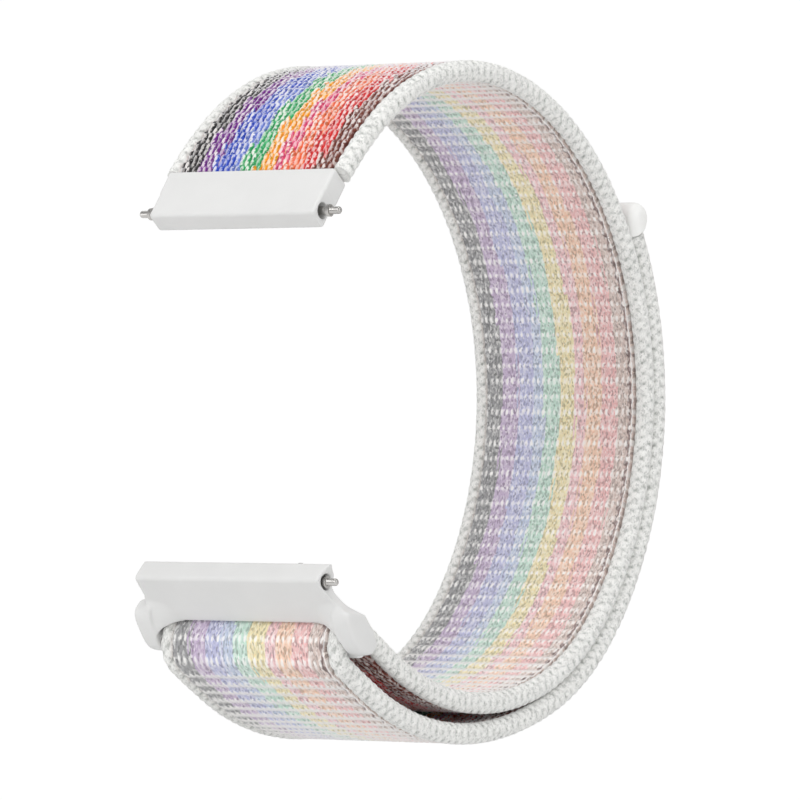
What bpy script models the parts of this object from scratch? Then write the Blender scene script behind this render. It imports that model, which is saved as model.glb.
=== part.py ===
"""A woven hook and loop watch strap, closed to the size of a wrist.

One long strip of woven fabric starts in the top adapter, goes round the loop, passes outwards
through the slot of the bottom bracket, folds round the bracket's bar and comes back outside
itself as the tail. A patch of hooks under the tail's end grips the loop pile of the main run.
Each adapter holds a quick release spring bar, which the lugs of a watch carry.

X runs across the strap, Y from the watch to the back of the loop and Z up. The origin is
halfway between the two spring bars. Lengths are in metres, written as millimetres times MM.
"""
import math

import bmesh
import bpy
import numpy as np
from mathutils import Matrix, Vector

MM = 0.001

# Woven fabric
STRAP_WIDTH = 21.0 * MM
CORD_WIDTH = 1.6 * MM
CORD_THICKNESS = 2.1 * MM
FABRIC_THICKNESS = 1.9 * MM
WOVEN_GAP = 0.1 * MM
REST_CLEARANCE = 0.12 * MM

# The loop's middle line as arcs that turn the same way: degrees turned, radius
START_HEADING = 47.0
MOUTH_ARC_RADIUS = 41.2 * MM
TOP_ARC_RADIUS = 28.8 * MM
BACK_ARC_RADIUS = 31.75 * MM
LOWER_ARC_RADIUS = 24.85 * MM
FRONT_ARC_RADIUS = 33.8 * MM
LOOP_ARCS = (
    (12.0, MOUTH_ARC_RADIUS),
    (42.7, TOP_ARC_RADIUS),
    (127.2, BACK_ARC_RADIUS),
    (29.6, LOWER_ARC_RADIUS),
    (47.5, FRONT_ARC_RADIUS),
)
STRAIGHT_RUN = 5.6 * MM
FOLD_TURN = 180.0

# The tail, which comes back along the outside of the main run
TAIL_COVER = 88.4 * MM
TAIL_OPENING_RUN = 36.0 * MM
TAIL_ROOT_RUN = 2.0 * MM
HINGE_GAP = 0.3 * MM
HOOK_LENGTH = 24.0 * MM
HOOK_SIDE_MARGIN = 0.35 * MM
TAB_SOCKET_DEPTH = 1.3 * MM

# Widths that follow the strap's own, so that every end piece keeps its fit
SLOT_SIDE_CLEARANCE = 0.25 * MM
JOINING_OVERLAP = 0.2 * MM
LUG_CLEARANCE = 0.05 * MM
SLOT_WIDTH = STRAP_WIDTH + 2 * SLOT_SIDE_CLEARANCE
BLOCK_WIDTH = SLOT_WIDTH + 2 * JOINING_OVERLAP
LUG_SPACE = BLOCK_WIDTH + 2 * LUG_CLEARANCE
ADAPTER_INSET = 0.9 * MM
ADAPTER_WIDTH = STRAP_WIDTH - 2 * ADAPTER_INSET
TAB_OVERHANG = 0.1 * MM
TAB_WIDTH = STRAP_WIDTH + 2 * TAB_OVERHANG

# Spring bars, alike in both adapters
TIP_LENGTH = 1.1 * MM
TIP_RADIUS = 0.36 * MM
TIP_ROUNDING = 0.12 * MM
SHOULDER_RADIUS = 0.6 * MM
SHOULDER_LENGTH = 0.35 * MM
SHOULDER_PLAY = 0.45 * MM
TUBE_RADIUS = 0.66 * MM
TUBE_BORE_RADIUS = 0.48 * MM
SHANK_RADIUS = 0.4 * MM
FIXED_SHANK_LENGTH = 8.6 * MM
SLIDING_SHANK_LENGTH = 6.2 * MM
RELEASE_TRAVEL = 1.3 * MM
RUNNING_GAP = 0.12 * MM
END_GAP = 0.1 * MM
LEVER_FROM_SHOULDER = 3.6 * MM
LEVER_STEM_RADIUS = 0.3 * MM
LEVER_HEAD_RADIUS = 0.55 * MM
LEVER_HEAD_LENGTH = 0.5 * MM
LEVER_HEAD_GAP = 0.15 * MM
SPRING_WIRE_RADIUS = 0.08 * MM
SPRING_TURNS = 8
SPRING_POINTS_PER_TURN = 8

# Top adapter, a sleeve for the strap's end and a barrel for the bar
ADAPTER_TILT = 3.5
ADAPTER_LENGTH = 5.7 * MM
SLEEVE_LENGTH = 2.9 * MM
SLEEVE_THICKNESS = 2.6 * MM
SLEEVE_SIDE_STEP = 0.1 * MM
BARREL_THICKNESS = 2.35 * MM
BARREL_OVERLAP = 1.2 * MM
BAR_FROM_END = 1.25 * MM
ADAPTER_BEVEL = 0.25 * MM
MOUTH_GAP = 0.15 * MM
POCKET_DEPTH = 2.1 * MM
POCKET_THICKNESS = 1.5 * MM
POCKET_SIDE_WALL = 0.9 * MM
PLUG_CLEARANCE = 0.12 * MM

# Bottom bracket: a block for the bar, two cheeks and the bar that the strap folds round
BRACKET_TILT = 15.0
FOLD_BAR_RADIUS = 1.05 * MM
FOLD_CLEARANCE = 0.1 * MM
BLOCK_LENGTH = 5.85 * MM
BLOCK_THICKNESS = 2.5 * MM
BLOCK_PROUD = 0.4 * MM
BLOCK_BEVEL = 0.22 * MM
BLOCK_WEB_THICKNESS = 1.3 * MM
BLOCK_WEB_FILLET = 1.1 * MM
BARREL_LENGTH = 1.85 * MM
BAR_FROM_OUTER_FACE = 1.1 * MM
SLOT_CLEARANCE = 0.12 * MM
SLOT_CORNER_RADIUS = 1.2 * MM
# Each cheek's outline: distances along the block from the fold's axis, and out from it
CHEEK_OUTLINE = (
    (5.5 * MM, -0.5 * MM),
    (5.65 * MM, 0.4 * MM),
    (5.45 * MM, 1.15 * MM),
    (4.8 * MM, 1.6 * MM),
    (3.7 * MM, 1.85 * MM),
    (2.6 * MM, 2.02 * MM),
    (1.6 * MM, 2.0 * MM),
    (0.8 * MM, 1.7 * MM),
    (0.1 * MM, 1.15 * MM),
    (-0.3 * MM, 0.7 * MM),
    (-0.45 * MM, 0.2 * MM),
    (-0.35 * MM, -0.55 * MM),
    (0.4 * MM, -1.0 * MM),
    (1.6 * MM, -1.2 * MM),
    (2.8 * MM, -1.25 * MM),
    (3.9 * MM, -1.15 * MM),
    (4.9 * MM, -0.85 * MM),
)
CHEEK_MIDDLE = Vector((2.5 * MM, 0.3 * MM))
CHEEK_THICKNESS = 1.8 * MM
CHEEK_ROUNDING = 0.5 * MM
CHEEK_STEPS = 2
# The block's outer face rises towards each cheek in a fairing
FAIRING_WIDTH = 2.8 * MM
FAIRING_LENGTH = 3.2 * MM
FAIRING_TOP = 1.7 * MM
FAIRING_INTO_CHEEK = 0.35 * MM
FAIRING_SINK = 0.05 * MM
FAIRING_STEPS = 9
GROOVE_RADIUS = 2.9 * MM
GROOVE_DEPTH = 0.6 * MM
GROOVE_LENGTH = 8.0 * MM
GROOVE_LEAN = 41.0

# End tab, moulded onto the tail's end
TAB_HEAD_RADIUS = 1.65 * MM
TAB_HEAD_ALONG = 1.5 * MM
TAB_HEAD_OUT = 1.0 * MM
TAB_FOOT_RADIUS = 1.2 * MM
TAB_FOOT_ALONG = 0.3 * MM
TAB_FOOT_OUT = 0.2 * MM
TAB_END_ROUNDING = 1.15 * MM

# Fineness of the curved shapes
CUT_OVERRUN = 0.5 * MM
PATH_STEP = 0.1 * MM
STATION_STEP = 2.5 * MM
STATION_TURN = 10.0
ARC_STEPS = 10
BEVEL_SEGMENTS = 2
DOME_STEPS = 5
ROUND_STEPS = 20
GROOVE_STEPS = 48
MERGE_DISTANCE = 0.001 * MM
SHARP_ANGLE = 35.0

COLOURS = {
    "moulding": ((0.86, 0.86, 0.86), 0.38, 0.0),
    "steel": ((0.62, 0.61, 0.60), 0.28, 1.0),
    "edge_cord": ((0.86, 0.87, 0.85), 0.85, 0.0),
    "pile": ((0.72, 0.38, 0.42), 0.95, 0.0),
    "ribbed": ((0.80, 0.74, 0.78), 0.85, 0.0),
    "hook": ((0.88, 0.88, 0.88), 0.70, 0.0),
}


def clear_scene():
    """Remove every object the file opens with."""
    for obj in list(bpy.data.objects):
        bpy.data.objects.remove(obj, do_unlink=True)


def make_collection(name):
    """Add a collection to the scene."""
    collection = bpy.data.collections.new(name)
    bpy.context.scene.collection.children.link(collection)
    return collection


def make_material(node_name, kind):
    """Give a node its own material from the named kind."""
    colour, roughness, metallic = COLOURS[kind]
    material = bpy.data.materials.new(node_name)
    material.use_nodes = True
    shader = material.node_tree.nodes["Principled BSDF"]
    shader.inputs["Base Color"].default_value = (*colour, 1.0)
    shader.inputs["Roughness"].default_value = roughness
    shader.inputs["Metallic"].default_value = metallic
    material.diffuse_color = (*colour, 1.0)
    return material


class Kit:
    """The two collections and the functions that put objects into them."""

    def __init__(self):
        self.parts = make_collection("hook_and_loop_watch_strap")
        self.cutters = make_collection("cutters")

    def part(self, name, mesh, kind, frame, smooth=False):
        """Make a named sub-part from a mesh that is drawn in the given frame."""
        mesh.name = name
        obj = bpy.data.objects.new(name, mesh)
        mesh.materials.clear()
        mesh.materials.append(make_material(name, kind))
        obj.matrix_world = frame
        self.parts.objects.link(obj)
        mesh.shade_flat()
        if smooth:
            mesh.shade_smooth()
            mesh.set_sharp_from_angle(angle=math.radians(SHARP_ANGLE))
        return obj

    def tool(self, name, mesh, frame):
        """Make a shape that is joined to or cut from a part and isn't a part itself."""
        mesh.name = name
        mesh.shade_flat()
        obj = bpy.data.objects.new(name, mesh)
        obj.matrix_world = frame
        obj.hide_render = True
        obj.display_type = "WIRE"
        self.cutters.objects.link(obj)
        return obj


def combine(obj, tool, operation):
    """Join a tool to a part (UNION) or cut it away (DIFFERENCE)."""
    modifier = obj.modifiers.new(tool.name, "BOOLEAN")
    modifier.operation = operation
    modifier.solver = "EXACT"
    modifier.object = tool


def bevel(obj, width):
    """Round the sharp edges of an object."""
    modifier = obj.modifiers.new("rounded_edges", "BEVEL")
    modifier.width = width
    modifier.segments = BEVEL_SEGMENTS
    modifier.limit_method = "ANGLE"
    modifier.angle_limit = math.radians(SHARP_ANGLE)


def frame_at(point, heading):
    """The frame at a point (y, z): its Y runs along the heading, its Z to the left of it."""
    return Matrix.Translation((0, point[0], point[1])) @ Matrix.Rotation(heading, 4, "X")


def shifted(frame, across=0, along=0, out=0):
    """The same frame moved by distances along its own axes."""
    return frame @ Matrix.Translation((across, along, out))


# Turns a drawing plane (x, y) into the side plane (Y, Z), with its normal along X
SIDE_PLANE = Matrix(((0, 0, 1, 0), (1, 0, 0, 0), (0, 1, 0, 0), (0, 0, 0, 1)))


def box_mesh(across, along, out):
    """A box given by its lowest and highest value on each axis."""
    lengths = [high - low for low, high in (across, along, out)]
    centre = [(high + low) / 2 for low, high in (across, along, out)]
    mesh = bpy.data.meshes.new("box")
    bm = bmesh.new()
    place = Matrix.Translation(centre) @ Matrix.Diagonal((*lengths, 1))
    bmesh.ops.create_cube(bm, size=1, matrix=place)
    bm.to_mesh(mesh)
    bm.free()
    return mesh


def cylinder_mesh(radius, low, high, steps=ROUND_STEPS):
    """A cylinder along X, from x = low to x = high."""
    mesh = bpy.data.meshes.new("cylinder")
    bm = bmesh.new()
    place = Matrix.Translation(((low + high) / 2, 0, 0)) @ SIDE_PLANE
    bmesh.ops.create_cone(
        bm, cap_ends=True, segments=steps, radius1=radius, radius2=radius,
        depth=high - low, matrix=place,
    )
    bm.to_mesh(mesh)
    bm.free()
    return mesh


def mesh_from_curve(curve, place):
    """Turn a curve into a mesh with its caps welded on, placed by a matrix."""
    carrier = bpy.data.objects.new(curve.name, curve)
    bpy.context.scene.collection.objects.link(carrier)
    depsgraph = bpy.context.evaluated_depsgraph_get()
    mesh = bpy.data.meshes.new_from_object(carrier.evaluated_get(depsgraph))
    bpy.data.objects.remove(carrier, do_unlink=True)
    bpy.data.curves.remove(curve)
    bm = bmesh.new()
    bm.from_mesh(mesh)
    bmesh.ops.remove_doubles(bm, verts=bm.verts, dist=MERGE_DISTANCE)
    bmesh.ops.transform(bm, matrix=place, verts=bm.verts)
    bmesh.ops.recalc_face_normals(bm, faces=bm.faces)
    bm.to_mesh(mesh)
    bm.free()
    return mesh


def plate_mesh(outline, low, high):
    """A flat plate: an outline in (along, out), from x = low to x = high."""
    curve = bpy.data.curves.new("outline", "CURVE")
    curve.dimensions = "2D"
    curve.fill_mode = "BOTH"
    curve.extrude = (high - low) / 2
    spline = curve.splines.new("POLY")
    spline.points.add(len(outline) - 1)
    for point, (along, out) in zip(spline.points, outline):
        point.co = (along, out, 0, 1)
    spline.use_cyclic_u = True
    return mesh_from_curve(curve, Matrix.Translation(((low + high) / 2, 0, 0)) @ SIDE_PLANE)


def tube_mesh(points, radius, resolution, cyclic=False):
    """A solid tube of one radius along a row of points."""
    curve = bpy.data.curves.new("tube", "CURVE")
    curve.dimensions = "3D"
    curve.bevel_depth = radius
    curve.bevel_resolution = resolution
    curve.use_fill_caps = not cyclic
    spline = curve.splines.new("POLY")
    spline.points.add(len(points) - 1)
    for point, place in zip(spline.points, points):
        point.co = (*place, 1)
    spline.use_cyclic_u = cyclic
    return mesh_from_curve(curve, Matrix.Identity(4))


def turned(kit, name, profile, kind, frame, closed=False):
    """A turned piece about X. The profile's points are (radius, place along X)."""
    mesh = bpy.data.meshes.new(name)
    count = len(profile)
    edges = [(i, i + 1) for i in range(count - 1)]
    if closed:
        edges.append((count - 1, 0))
    mesh.from_pydata([(radius, 0, place) for radius, place in profile], edges, [])
    obj = kit.part(name, mesh, kind, frame @ SIDE_PLANE)
    screw = obj.modifiers.new("turning", "SCREW")
    screw.axis = "Z"
    screw.steps = ROUND_STEPS
    screw.render_steps = ROUND_STEPS
    screw.use_merge_vertices = True
    screw.merge_threshold = MERGE_DISTANCE
    return obj


def circle_hull(centre_a, radius_a, centre_b, radius_b):
    """The outline round two circles: two arcs joined by the circles' common tangents."""
    a = Vector(centre_a)
    b = Vector(centre_b)
    gap = b - a
    lean = math.acos((radius_a - radius_b) / gap.length)
    facing = math.atan2(gap.y, gap.x)
    outline = []
    for centre, radius, start, sweep in (
        (a, radius_a, facing + lean, math.tau - 2 * lean),
        (b, radius_b, facing - lean, 2 * lean),
    ):
        for i in range(ARC_STEPS + 1):
            angle = start + sweep * i / ARC_STEPS
            outline.append(centre + radius * Vector((math.cos(angle), math.sin(angle))))
    return outline


def smooth_loop(points, steps):
    """A closed curve through the points, with some steps on each stretch between two of them."""
    count = len(points)
    outline = []
    for i in range(count):
        before, start, end, after = (Vector(points[(i + shift) % count]) for shift in (-1, 0, 1, 2))
        for step in range(steps):
            t = step / steps
            bend = (2 * before - 5 * start + 4 * end - after) * t * t
            twist = (3 * start - before - 3 * end + after) * t ** 3
            outline.append((2 * start + (end - before) * t + bend + twist) / 2)
    return outline


def dome_stations(middle, end, rounding):
    """Places across, from the middle to a rounded end, with how far the outline is inset there."""
    side = math.copysign(1, end - middle)
    stations = [(middle, 0.0)]
    for i in range(DOME_STEPS + 1):
        angle = math.radians(90) * i / DOME_STEPS
        inset = rounding * (1 - math.cos(angle))
        stations.append((end - side * rounding * (1 - math.sin(angle)), inset))
    return stations


def domed_mesh(ring_for, stations):
    """A solid through outlines across X; ring_for gives the outline (along, out) at an inset."""
    bm = bmesh.new()
    rings = []
    for across, inset in sorted(stations):
        rings.append([bm.verts.new((across, along, out)) for along, out in ring_for(inset)])
    count = len(rings[0])
    for ring, following in zip(rings, rings[1:]):
        for i in range(count):
            after = (i + 1) % count
            bm.faces.new((ring[i], ring[after], following[after], following[i]))
    bm.faces.new(rings[0])
    bm.faces.new(rings[-1])
    bmesh.ops.remove_doubles(bm, verts=bm.verts, dist=MERGE_DISTANCE)
    bmesh.ops.recalc_face_normals(bm, faces=bm.faces)
    mesh = bpy.data.meshes.new("domed")
    bm.to_mesh(mesh)
    bm.free()
    return mesh


class StrapPath:
    """The strap's middle line from the adapter's mouth to the tail's end, in the side plane.

    The main run is a chain of arcs. The tail is the main run again, moved outwards by a
    distance that grows from the strap's thickness to the width of the fold.
    """

    def __init__(self):
        self.fold_radius = FOLD_BAR_RADIUS + FOLD_CLEARANCE + CORD_THICKNESS / 2
        main = self.main_points()
        self.main_length = self.lengths(main)[-1]
        headings = self.headings_of(main)
        self.fold_heading = headings[-1]
        left = np.array((-math.sin(self.fold_heading), math.cos(self.fold_heading)))
        self.fold_centre = main[-1] + self.fold_radius * left
        fold = self.fold_points(main[-1])
        tail = self.tail_points(main, headings)
        self.points = np.vstack((main, fold[1:], tail[1:]))
        self.at = self.lengths(self.points)
        self.headings = self.headings_of(self.points)
        self.length = self.at[-1]
        self.fold_end = self.main_length + self.lengths(fold)[-1]

    @staticmethod
    def lengths(points):
        """The distance along a row of points at each of them."""
        return np.concatenate(((0,), np.cumsum(np.linalg.norm(np.diff(points, axis=0), axis=1))))

    @staticmethod
    def headings_of(points):
        """The direction of travel at each point, in radians."""
        step = np.gradient(points, axis=0)
        return np.unwrap(np.arctan2(step[:, 1], step[:, 0]))

    @staticmethod
    def walk(start, heading, length, turn):
        """Even steps along an arc that turns by the given angle over the given length."""
        count = max(2, round(length / PATH_STEP))
        headings = heading + turn * (np.arange(count) + 0.5) / count
        steps = np.stack((np.cos(headings), np.sin(headings)), axis=1) * length / count
        return start + np.cumsum(steps, axis=0)

    def main_points(self):
        """The main run: the chain of arcs and the straight run to the fold."""
        points = [np.zeros((1, 2))]
        heading = math.radians(START_HEADING)
        for degrees, radius in LOOP_ARCS:
            turn = math.radians(degrees)
            points.append(self.walk(points[-1][-1], heading, radius * turn, -turn))
            heading -= turn
        points.append(self.walk(points[-1][-1], heading, STRAIGHT_RUN, 0))
        return np.vstack(points)

    def fold_points(self, start):
        """The half turn round the bracket's bar."""
        turn = math.radians(FOLD_TURN)
        arc = self.walk(start, self.fold_heading, self.fold_radius * turn, turn)
        return np.vstack((start, arc))

    def tail_points(self, main, headings):
        """The main run backwards, moved outwards."""
        along = self.lengths(main)
        resting = CORD_THICKNESS + REST_CLEARANCE
        rise = (along - (self.main_length - TAIL_OPENING_RUN)) / TAIL_OPENING_RUN
        rise = np.clip(rise, 0, 1)
        smooth = rise * rise * (3 - 2 * rise)
        distance = resting + (2 * self.fold_radius - resting) * smooth
        left = np.stack((-np.sin(headings), np.cos(headings)), axis=1)
        moved = main + left * distance[:, None]
        return moved[along >= self.main_length - TAIL_COVER][::-1]

    def frame(self, along, out=0):
        """The frame on the line at a distance along it: Y along, Z to the left."""
        y = np.interp(along, self.at, self.points[:, 0])
        z = np.interp(along, self.at, self.points[:, 1])
        heading = np.interp(along, self.at, self.headings)
        return shifted(frame_at((y, z), heading), out=out)

    def stations(self, start, end):
        """Places along the line, closer together where it turns sharply."""
        places = [start]
        limit = math.radians(STATION_TURN)
        for place, heading in zip(self.at, self.headings):
            if not start < place < end:
                continue
            last = np.interp(places[-1], self.at, self.headings)
            if place - places[-1] >= STATION_STEP or abs(heading - last) >= limit:
                places.append(place)
        if end - places[-1] < PATH_STEP * 2 and len(places) > 1:
            places.pop()
        return places + [end]

    def line(self, start, end, out=0):
        """The points (0, y, z) of a line that runs beside the middle line."""
        return [self.frame(place, out).to_translation() for place in self.stations(start, end)]


def layer_mesh(points, half_width):
    """An open strip as wide as the layer, drawn along its middle line."""
    mesh = bpy.data.meshes.new("layer")
    bm = bmesh.new()
    row = [bm.verts.new((-half_width, point.y, point.z)) for point in points]
    edges = [bm.edges.new(pair) for pair in zip(row, row[1:])]
    made = bmesh.ops.extrude_edge_only(bm, edges=edges)
    moved = [item for item in made["geom"] if isinstance(item, bmesh.types.BMVert)]
    bmesh.ops.translate(bm, verts=moved, vec=(2 * half_width, 0, 0))
    bmesh.ops.recalc_face_normals(bm, faces=bm.faces)
    bm.to_mesh(mesh)
    bm.free()
    return mesh


def fabric_layer(kit, name, path, span, side, kind, origin, half_width):
    """One woven layer of a stretch of the strap; side is 1 for the pile, -1 for the ribs."""
    thickness = FABRIC_THICKNESS / 2 - WOVEN_GAP / 2
    middle = side * (WOVEN_GAP + thickness) / 2
    mesh = layer_mesh(path.line(*span, out=middle), half_width)
    obj = kit.part(name, mesh, kind, Matrix.Identity(4), smooth=True)
    solid = obj.modifiers.new("thickness", "SOLIDIFY")
    solid.thickness = thickness
    solid.offset = 0
    solid.use_even_offset = True
    move_origin(obj, origin)
    return obj


def edge_cord(kit, name, path, span, side, origin):
    """One of the two braided cords along the strap's edges; side is -1 left, 1 right."""
    mesh = tube_mesh(path.line(*span), CORD_THICKNESS / 2, 2)
    middle = side * (STRAP_WIDTH - CORD_WIDTH) / 2
    flatten = Matrix.Translation((middle, 0, 0)) @ Matrix.Diagonal((CORD_WIDTH / CORD_THICKNESS, 1, 1, 1))
    mesh.transform(flatten)
    obj = kit.part(name, mesh, "edge_cord", Matrix.Identity(4), smooth=True)
    move_origin(obj, origin)
    return obj


def move_origin(obj, origin):
    """Put an object's origin at a point without moving its shape."""
    obj.data.transform(Matrix.Translation(-origin))
    obj.matrix_world = Matrix.Translation(origin)


WEB_HALF_WIDTH = STRAP_WIDTH / 2 - CORD_WIDTH - WOVEN_GAP


def fabric_stretch(kit, prefix, path, span, origin, with_pile=True, rib_extra=0):
    """A stretch of the strap: its pile layer, its ribbed layer and its two edge cords."""
    if with_pile:
        fabric_layer(kit, prefix + "_pile_layer", path, span, 1, "pile", origin, WEB_HALF_WIDTH)
    rib_span = (span[0], span[1] + rib_extra)
    fabric_layer(kit, prefix + "_ribbed_layer", path, rib_span, -1, "ribbed", origin, WEB_HALF_WIDTH)
    for side, word in ((-1, "left"), (1, "right")):
        edge_cord(kit, f"{prefix}_edge_cord_{word}", path, span, side, origin)


SHOULDER_FACE = LUG_SPACE / 2 - SHOULDER_PLAY
SHOULDER_BACK = SHOULDER_FACE - SHOULDER_LENGTH
TIP_END = SHOULDER_FACE + TIP_LENGTH
TUBE_FIXED_END = -SHOULDER_BACK + END_GAP
TUBE_FREE_END = SHOULDER_BACK - RELEASE_TRAVEL - END_GAP
LEVER_PLACE = SHOULDER_BACK - LEVER_FROM_SHOULDER
BORE_RADIUS = TUBE_RADIUS + RUNNING_GAP
LEVER_SLOT_LOW = LEVER_PLACE - RELEASE_TRAVEL - LEVER_STEM_RADIUS - RUNNING_GAP
LEVER_SLOT_HIGH = LEVER_PLACE + LEVER_STEM_RADIUS + RUNNING_GAP
LEVER_SLOT_HALF_HEIGHT = LEVER_STEM_RADIUS + RUNNING_GAP


def pin_profile(shank_end, direction):
    """A pin's profile, from the end of its shank to its rounded tip, for one end of the bar."""
    profile = [
        (0, TIP_END),
        (TIP_RADIUS - TIP_ROUNDING, TIP_END),
        (TIP_RADIUS, TIP_END - TIP_ROUNDING),
        (TIP_RADIUS, SHOULDER_FACE),
        (SHOULDER_RADIUS, SHOULDER_FACE),
        (SHOULDER_RADIUS, SHOULDER_BACK),
        (SHANK_RADIUS, SHOULDER_BACK),
        (SHANK_RADIUS, shank_end),
        (0, shank_end),
    ]
    if direction > 0:
        return profile
    return [(radius, -place) for radius, place in reversed(profile)]


def spring_bar(kit, prefix, frame, wall):
    """A quick release spring bar along X. Its lever points along the frame's -Z through a wall.

    The fixed pin is pressed into the tube. The sliding pin has a shoulder outside the tube,
    and a lever whose stem passes through slots in the tube and the adapter.
    """
    tube_profile = [
        (TUBE_RADIUS, TUBE_FREE_END),
        (TUBE_RADIUS, TUBE_FIXED_END),
        (TUBE_BORE_RADIUS, TUBE_FIXED_END),
        (TUBE_BORE_RADIUS, TUBE_FREE_END),
    ]
    tube = turned(kit, prefix + "_bar_tube", tube_profile, "steel", frame, closed=True)
    slot = box_mesh(
        (LEVER_SLOT_LOW, LEVER_SLOT_HIGH),
        (-LEVER_SLOT_HALF_HEIGHT, LEVER_SLOT_HALF_HEIGHT),
        (-TUBE_RADIUS - CUT_OVERRUN, 0),
    )
    combine(tube, kit.tool(prefix + "_tube_slot", slot, frame), "DIFFERENCE")

    fixed_end = -SHOULDER_BACK + FIXED_SHANK_LENGTH
    turned(kit, prefix + "_bar_fixed_pin", pin_profile(-fixed_end, -1), "steel", frame)
    free_end = SHOULDER_BACK - SLIDING_SHANK_LENGTH
    turned(kit, prefix + "_bar_sliding_pin", pin_profile(free_end, 1), "steel", frame)

    head_low = wall + LEVER_HEAD_GAP
    lever_profile = [
        (0, head_low + LEVER_HEAD_LENGTH),
        (LEVER_HEAD_RADIUS - TIP_ROUNDING, head_low + LEVER_HEAD_LENGTH),
        (LEVER_HEAD_RADIUS, head_low + LEVER_HEAD_LENGTH - TIP_ROUNDING),
        (LEVER_HEAD_RADIUS, head_low),
        (LEVER_STEM_RADIUS, head_low),
        (LEVER_STEM_RADIUS, SHANK_RADIUS + END_GAP / 2),
        (0, SHANK_RADIUS + END_GAP / 2),
    ]
    place = shifted(frame, across=LEVER_PLACE)
    # The profile's X axis is turned to the frame's -Z
    downwards = place @ Matrix.Rotation(math.radians(90), 4, "Y")
    turned(kit, prefix + "_release_lever", lever_profile, "steel", downwards)

    coil_low = fixed_end + SPRING_WIRE_RADIUS + END_GAP
    coil_high = free_end - SPRING_WIRE_RADIUS - END_GAP
    coil_radius = SHANK_RADIUS - SPRING_WIRE_RADIUS
    count = SPRING_TURNS * SPRING_POINTS_PER_TURN
    coil = []
    for i in range(count + 1):
        angle = math.tau * i / SPRING_POINTS_PER_TURN
        place = coil_low + (coil_high - coil_low) * i / count
        coil.append((place, coil_radius * math.cos(angle), coil_radius * math.sin(angle)))
    mesh = tube_mesh(coil, SPRING_WIRE_RADIUS, 1)
    kit.part(prefix + "_bar_spring", mesh, "steel", frame, smooth=True)


def cut_for_bar(kit, obj, prefix, frame, half_width, depth):
    """Bore an adapter for its spring bar and cut the slot that the lever slides in."""
    reach = half_width + CUT_OVERRUN
    bore = kit.tool(prefix + "_bore", cylinder_mesh(BORE_RADIUS, -reach, reach), frame)
    combine(obj, bore, "DIFFERENCE")
    slot = box_mesh(
        (LEVER_SLOT_LOW, LEVER_SLOT_HIGH),
        (-LEVER_SLOT_HALF_HEIGHT, LEVER_SLOT_HALF_HEIGHT),
        (-depth - CUT_OVERRUN, 0),
    )
    combine(obj, kit.tool(prefix + "_lever_slot", slot, frame), "DIFFERENCE")


def top_adapter(kit, path):
    """The moulded adapter that the strap starts from, and the strap's welded end inside it."""
    start = path.frame(0)
    mouth = start @ Matrix.Rotation(math.radians(ADAPTER_TILT), 4, "X")
    half = ADAPTER_WIDTH / 2
    outer = SLEEVE_THICKNESS / 2
    barrel_inner = outer - BARREL_THICKNESS
    barrel = box_mesh(
        (-half, half),
        (-ADAPTER_LENGTH, BARREL_OVERLAP - SLEEVE_LENGTH),
        (barrel_inner, outer),
    )
    adapter = kit.part("top_adapter", barrel, "moulding", mouth)
    bevel(adapter, ADAPTER_BEVEL)
    sleeve_half = half + SLEEVE_SIDE_STEP
    sleeve = box_mesh((-sleeve_half, sleeve_half), (-SLEEVE_LENGTH, 0), (-outer, outer))
    sleeve = kit.tool("top_sleeve", sleeve, mouth)
    bevel(sleeve, ADAPTER_BEVEL)
    combine(adapter, sleeve, "UNION")

    pocket_half = half - POCKET_SIDE_WALL
    pocket = box_mesh(
        (-pocket_half, pocket_half),
        (-POCKET_DEPTH, CUT_OVERRUN),
        (-POCKET_THICKNESS / 2, POCKET_THICKNESS / 2),
    )
    combine(adapter, kit.tool("top_pocket", pocket, mouth), "DIFFERENCE")
    bar_out = (barrel_inner + outer) / 2
    bar = shifted(mouth, along=BAR_FROM_END - ADAPTER_LENGTH, out=bar_out)
    cut_for_bar(kit, adapter, "top", bar, half, BARREL_THICKNESS / 2)

    plug_half = pocket_half - PLUG_CLEARANCE
    plug_thickness = POCKET_THICKNESS / 2 - PLUG_CLEARANCE
    plug = box_mesh(
        (-plug_half, plug_half),
        (PLUG_CLEARANCE - POCKET_DEPTH, 0),
        (-plug_thickness, plug_thickness),
    )
    plug = kit.part("strap_end_plug", plug, "edge_cord", mouth)
    bevel(plug, PLUG_CLEARANCE)
    return bar


def slot_tool_mesh(block_end, slot_half):
    """The slot's opening: straight sides, and rounded corners where it meets the block."""
    outline = [(-slot_half, -block_end), (slot_half, -block_end)]
    centre = (slot_half - SLOT_CORNER_RADIUS, block_end - SLOT_CORNER_RADIUS)
    corner = []
    for i in range(ARC_STEPS + 1):
        angle = math.radians(90) * i / ARC_STEPS
        across = centre[0] + SLOT_CORNER_RADIUS * math.cos(angle)
        along = centre[1] + SLOT_CORNER_RADIUS * math.sin(angle)
        corner.append((across, along))
    outline += corner + [(-across, along) for across, along in reversed(corner)]
    mesh = plate_mesh(outline, -BLOCK_LENGTH, BLOCK_LENGTH)
    # The opening is drawn across and along, so its plate is turned to lie flat
    mesh.transform(SIDE_PLANE.inverted())
    return mesh


def ease(value):
    """Rise smoothly from 0 to 1, level at both ends."""
    value = min(max(value, 0.0), 1.0)
    return value * value * (3 - 2 * value)


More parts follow.
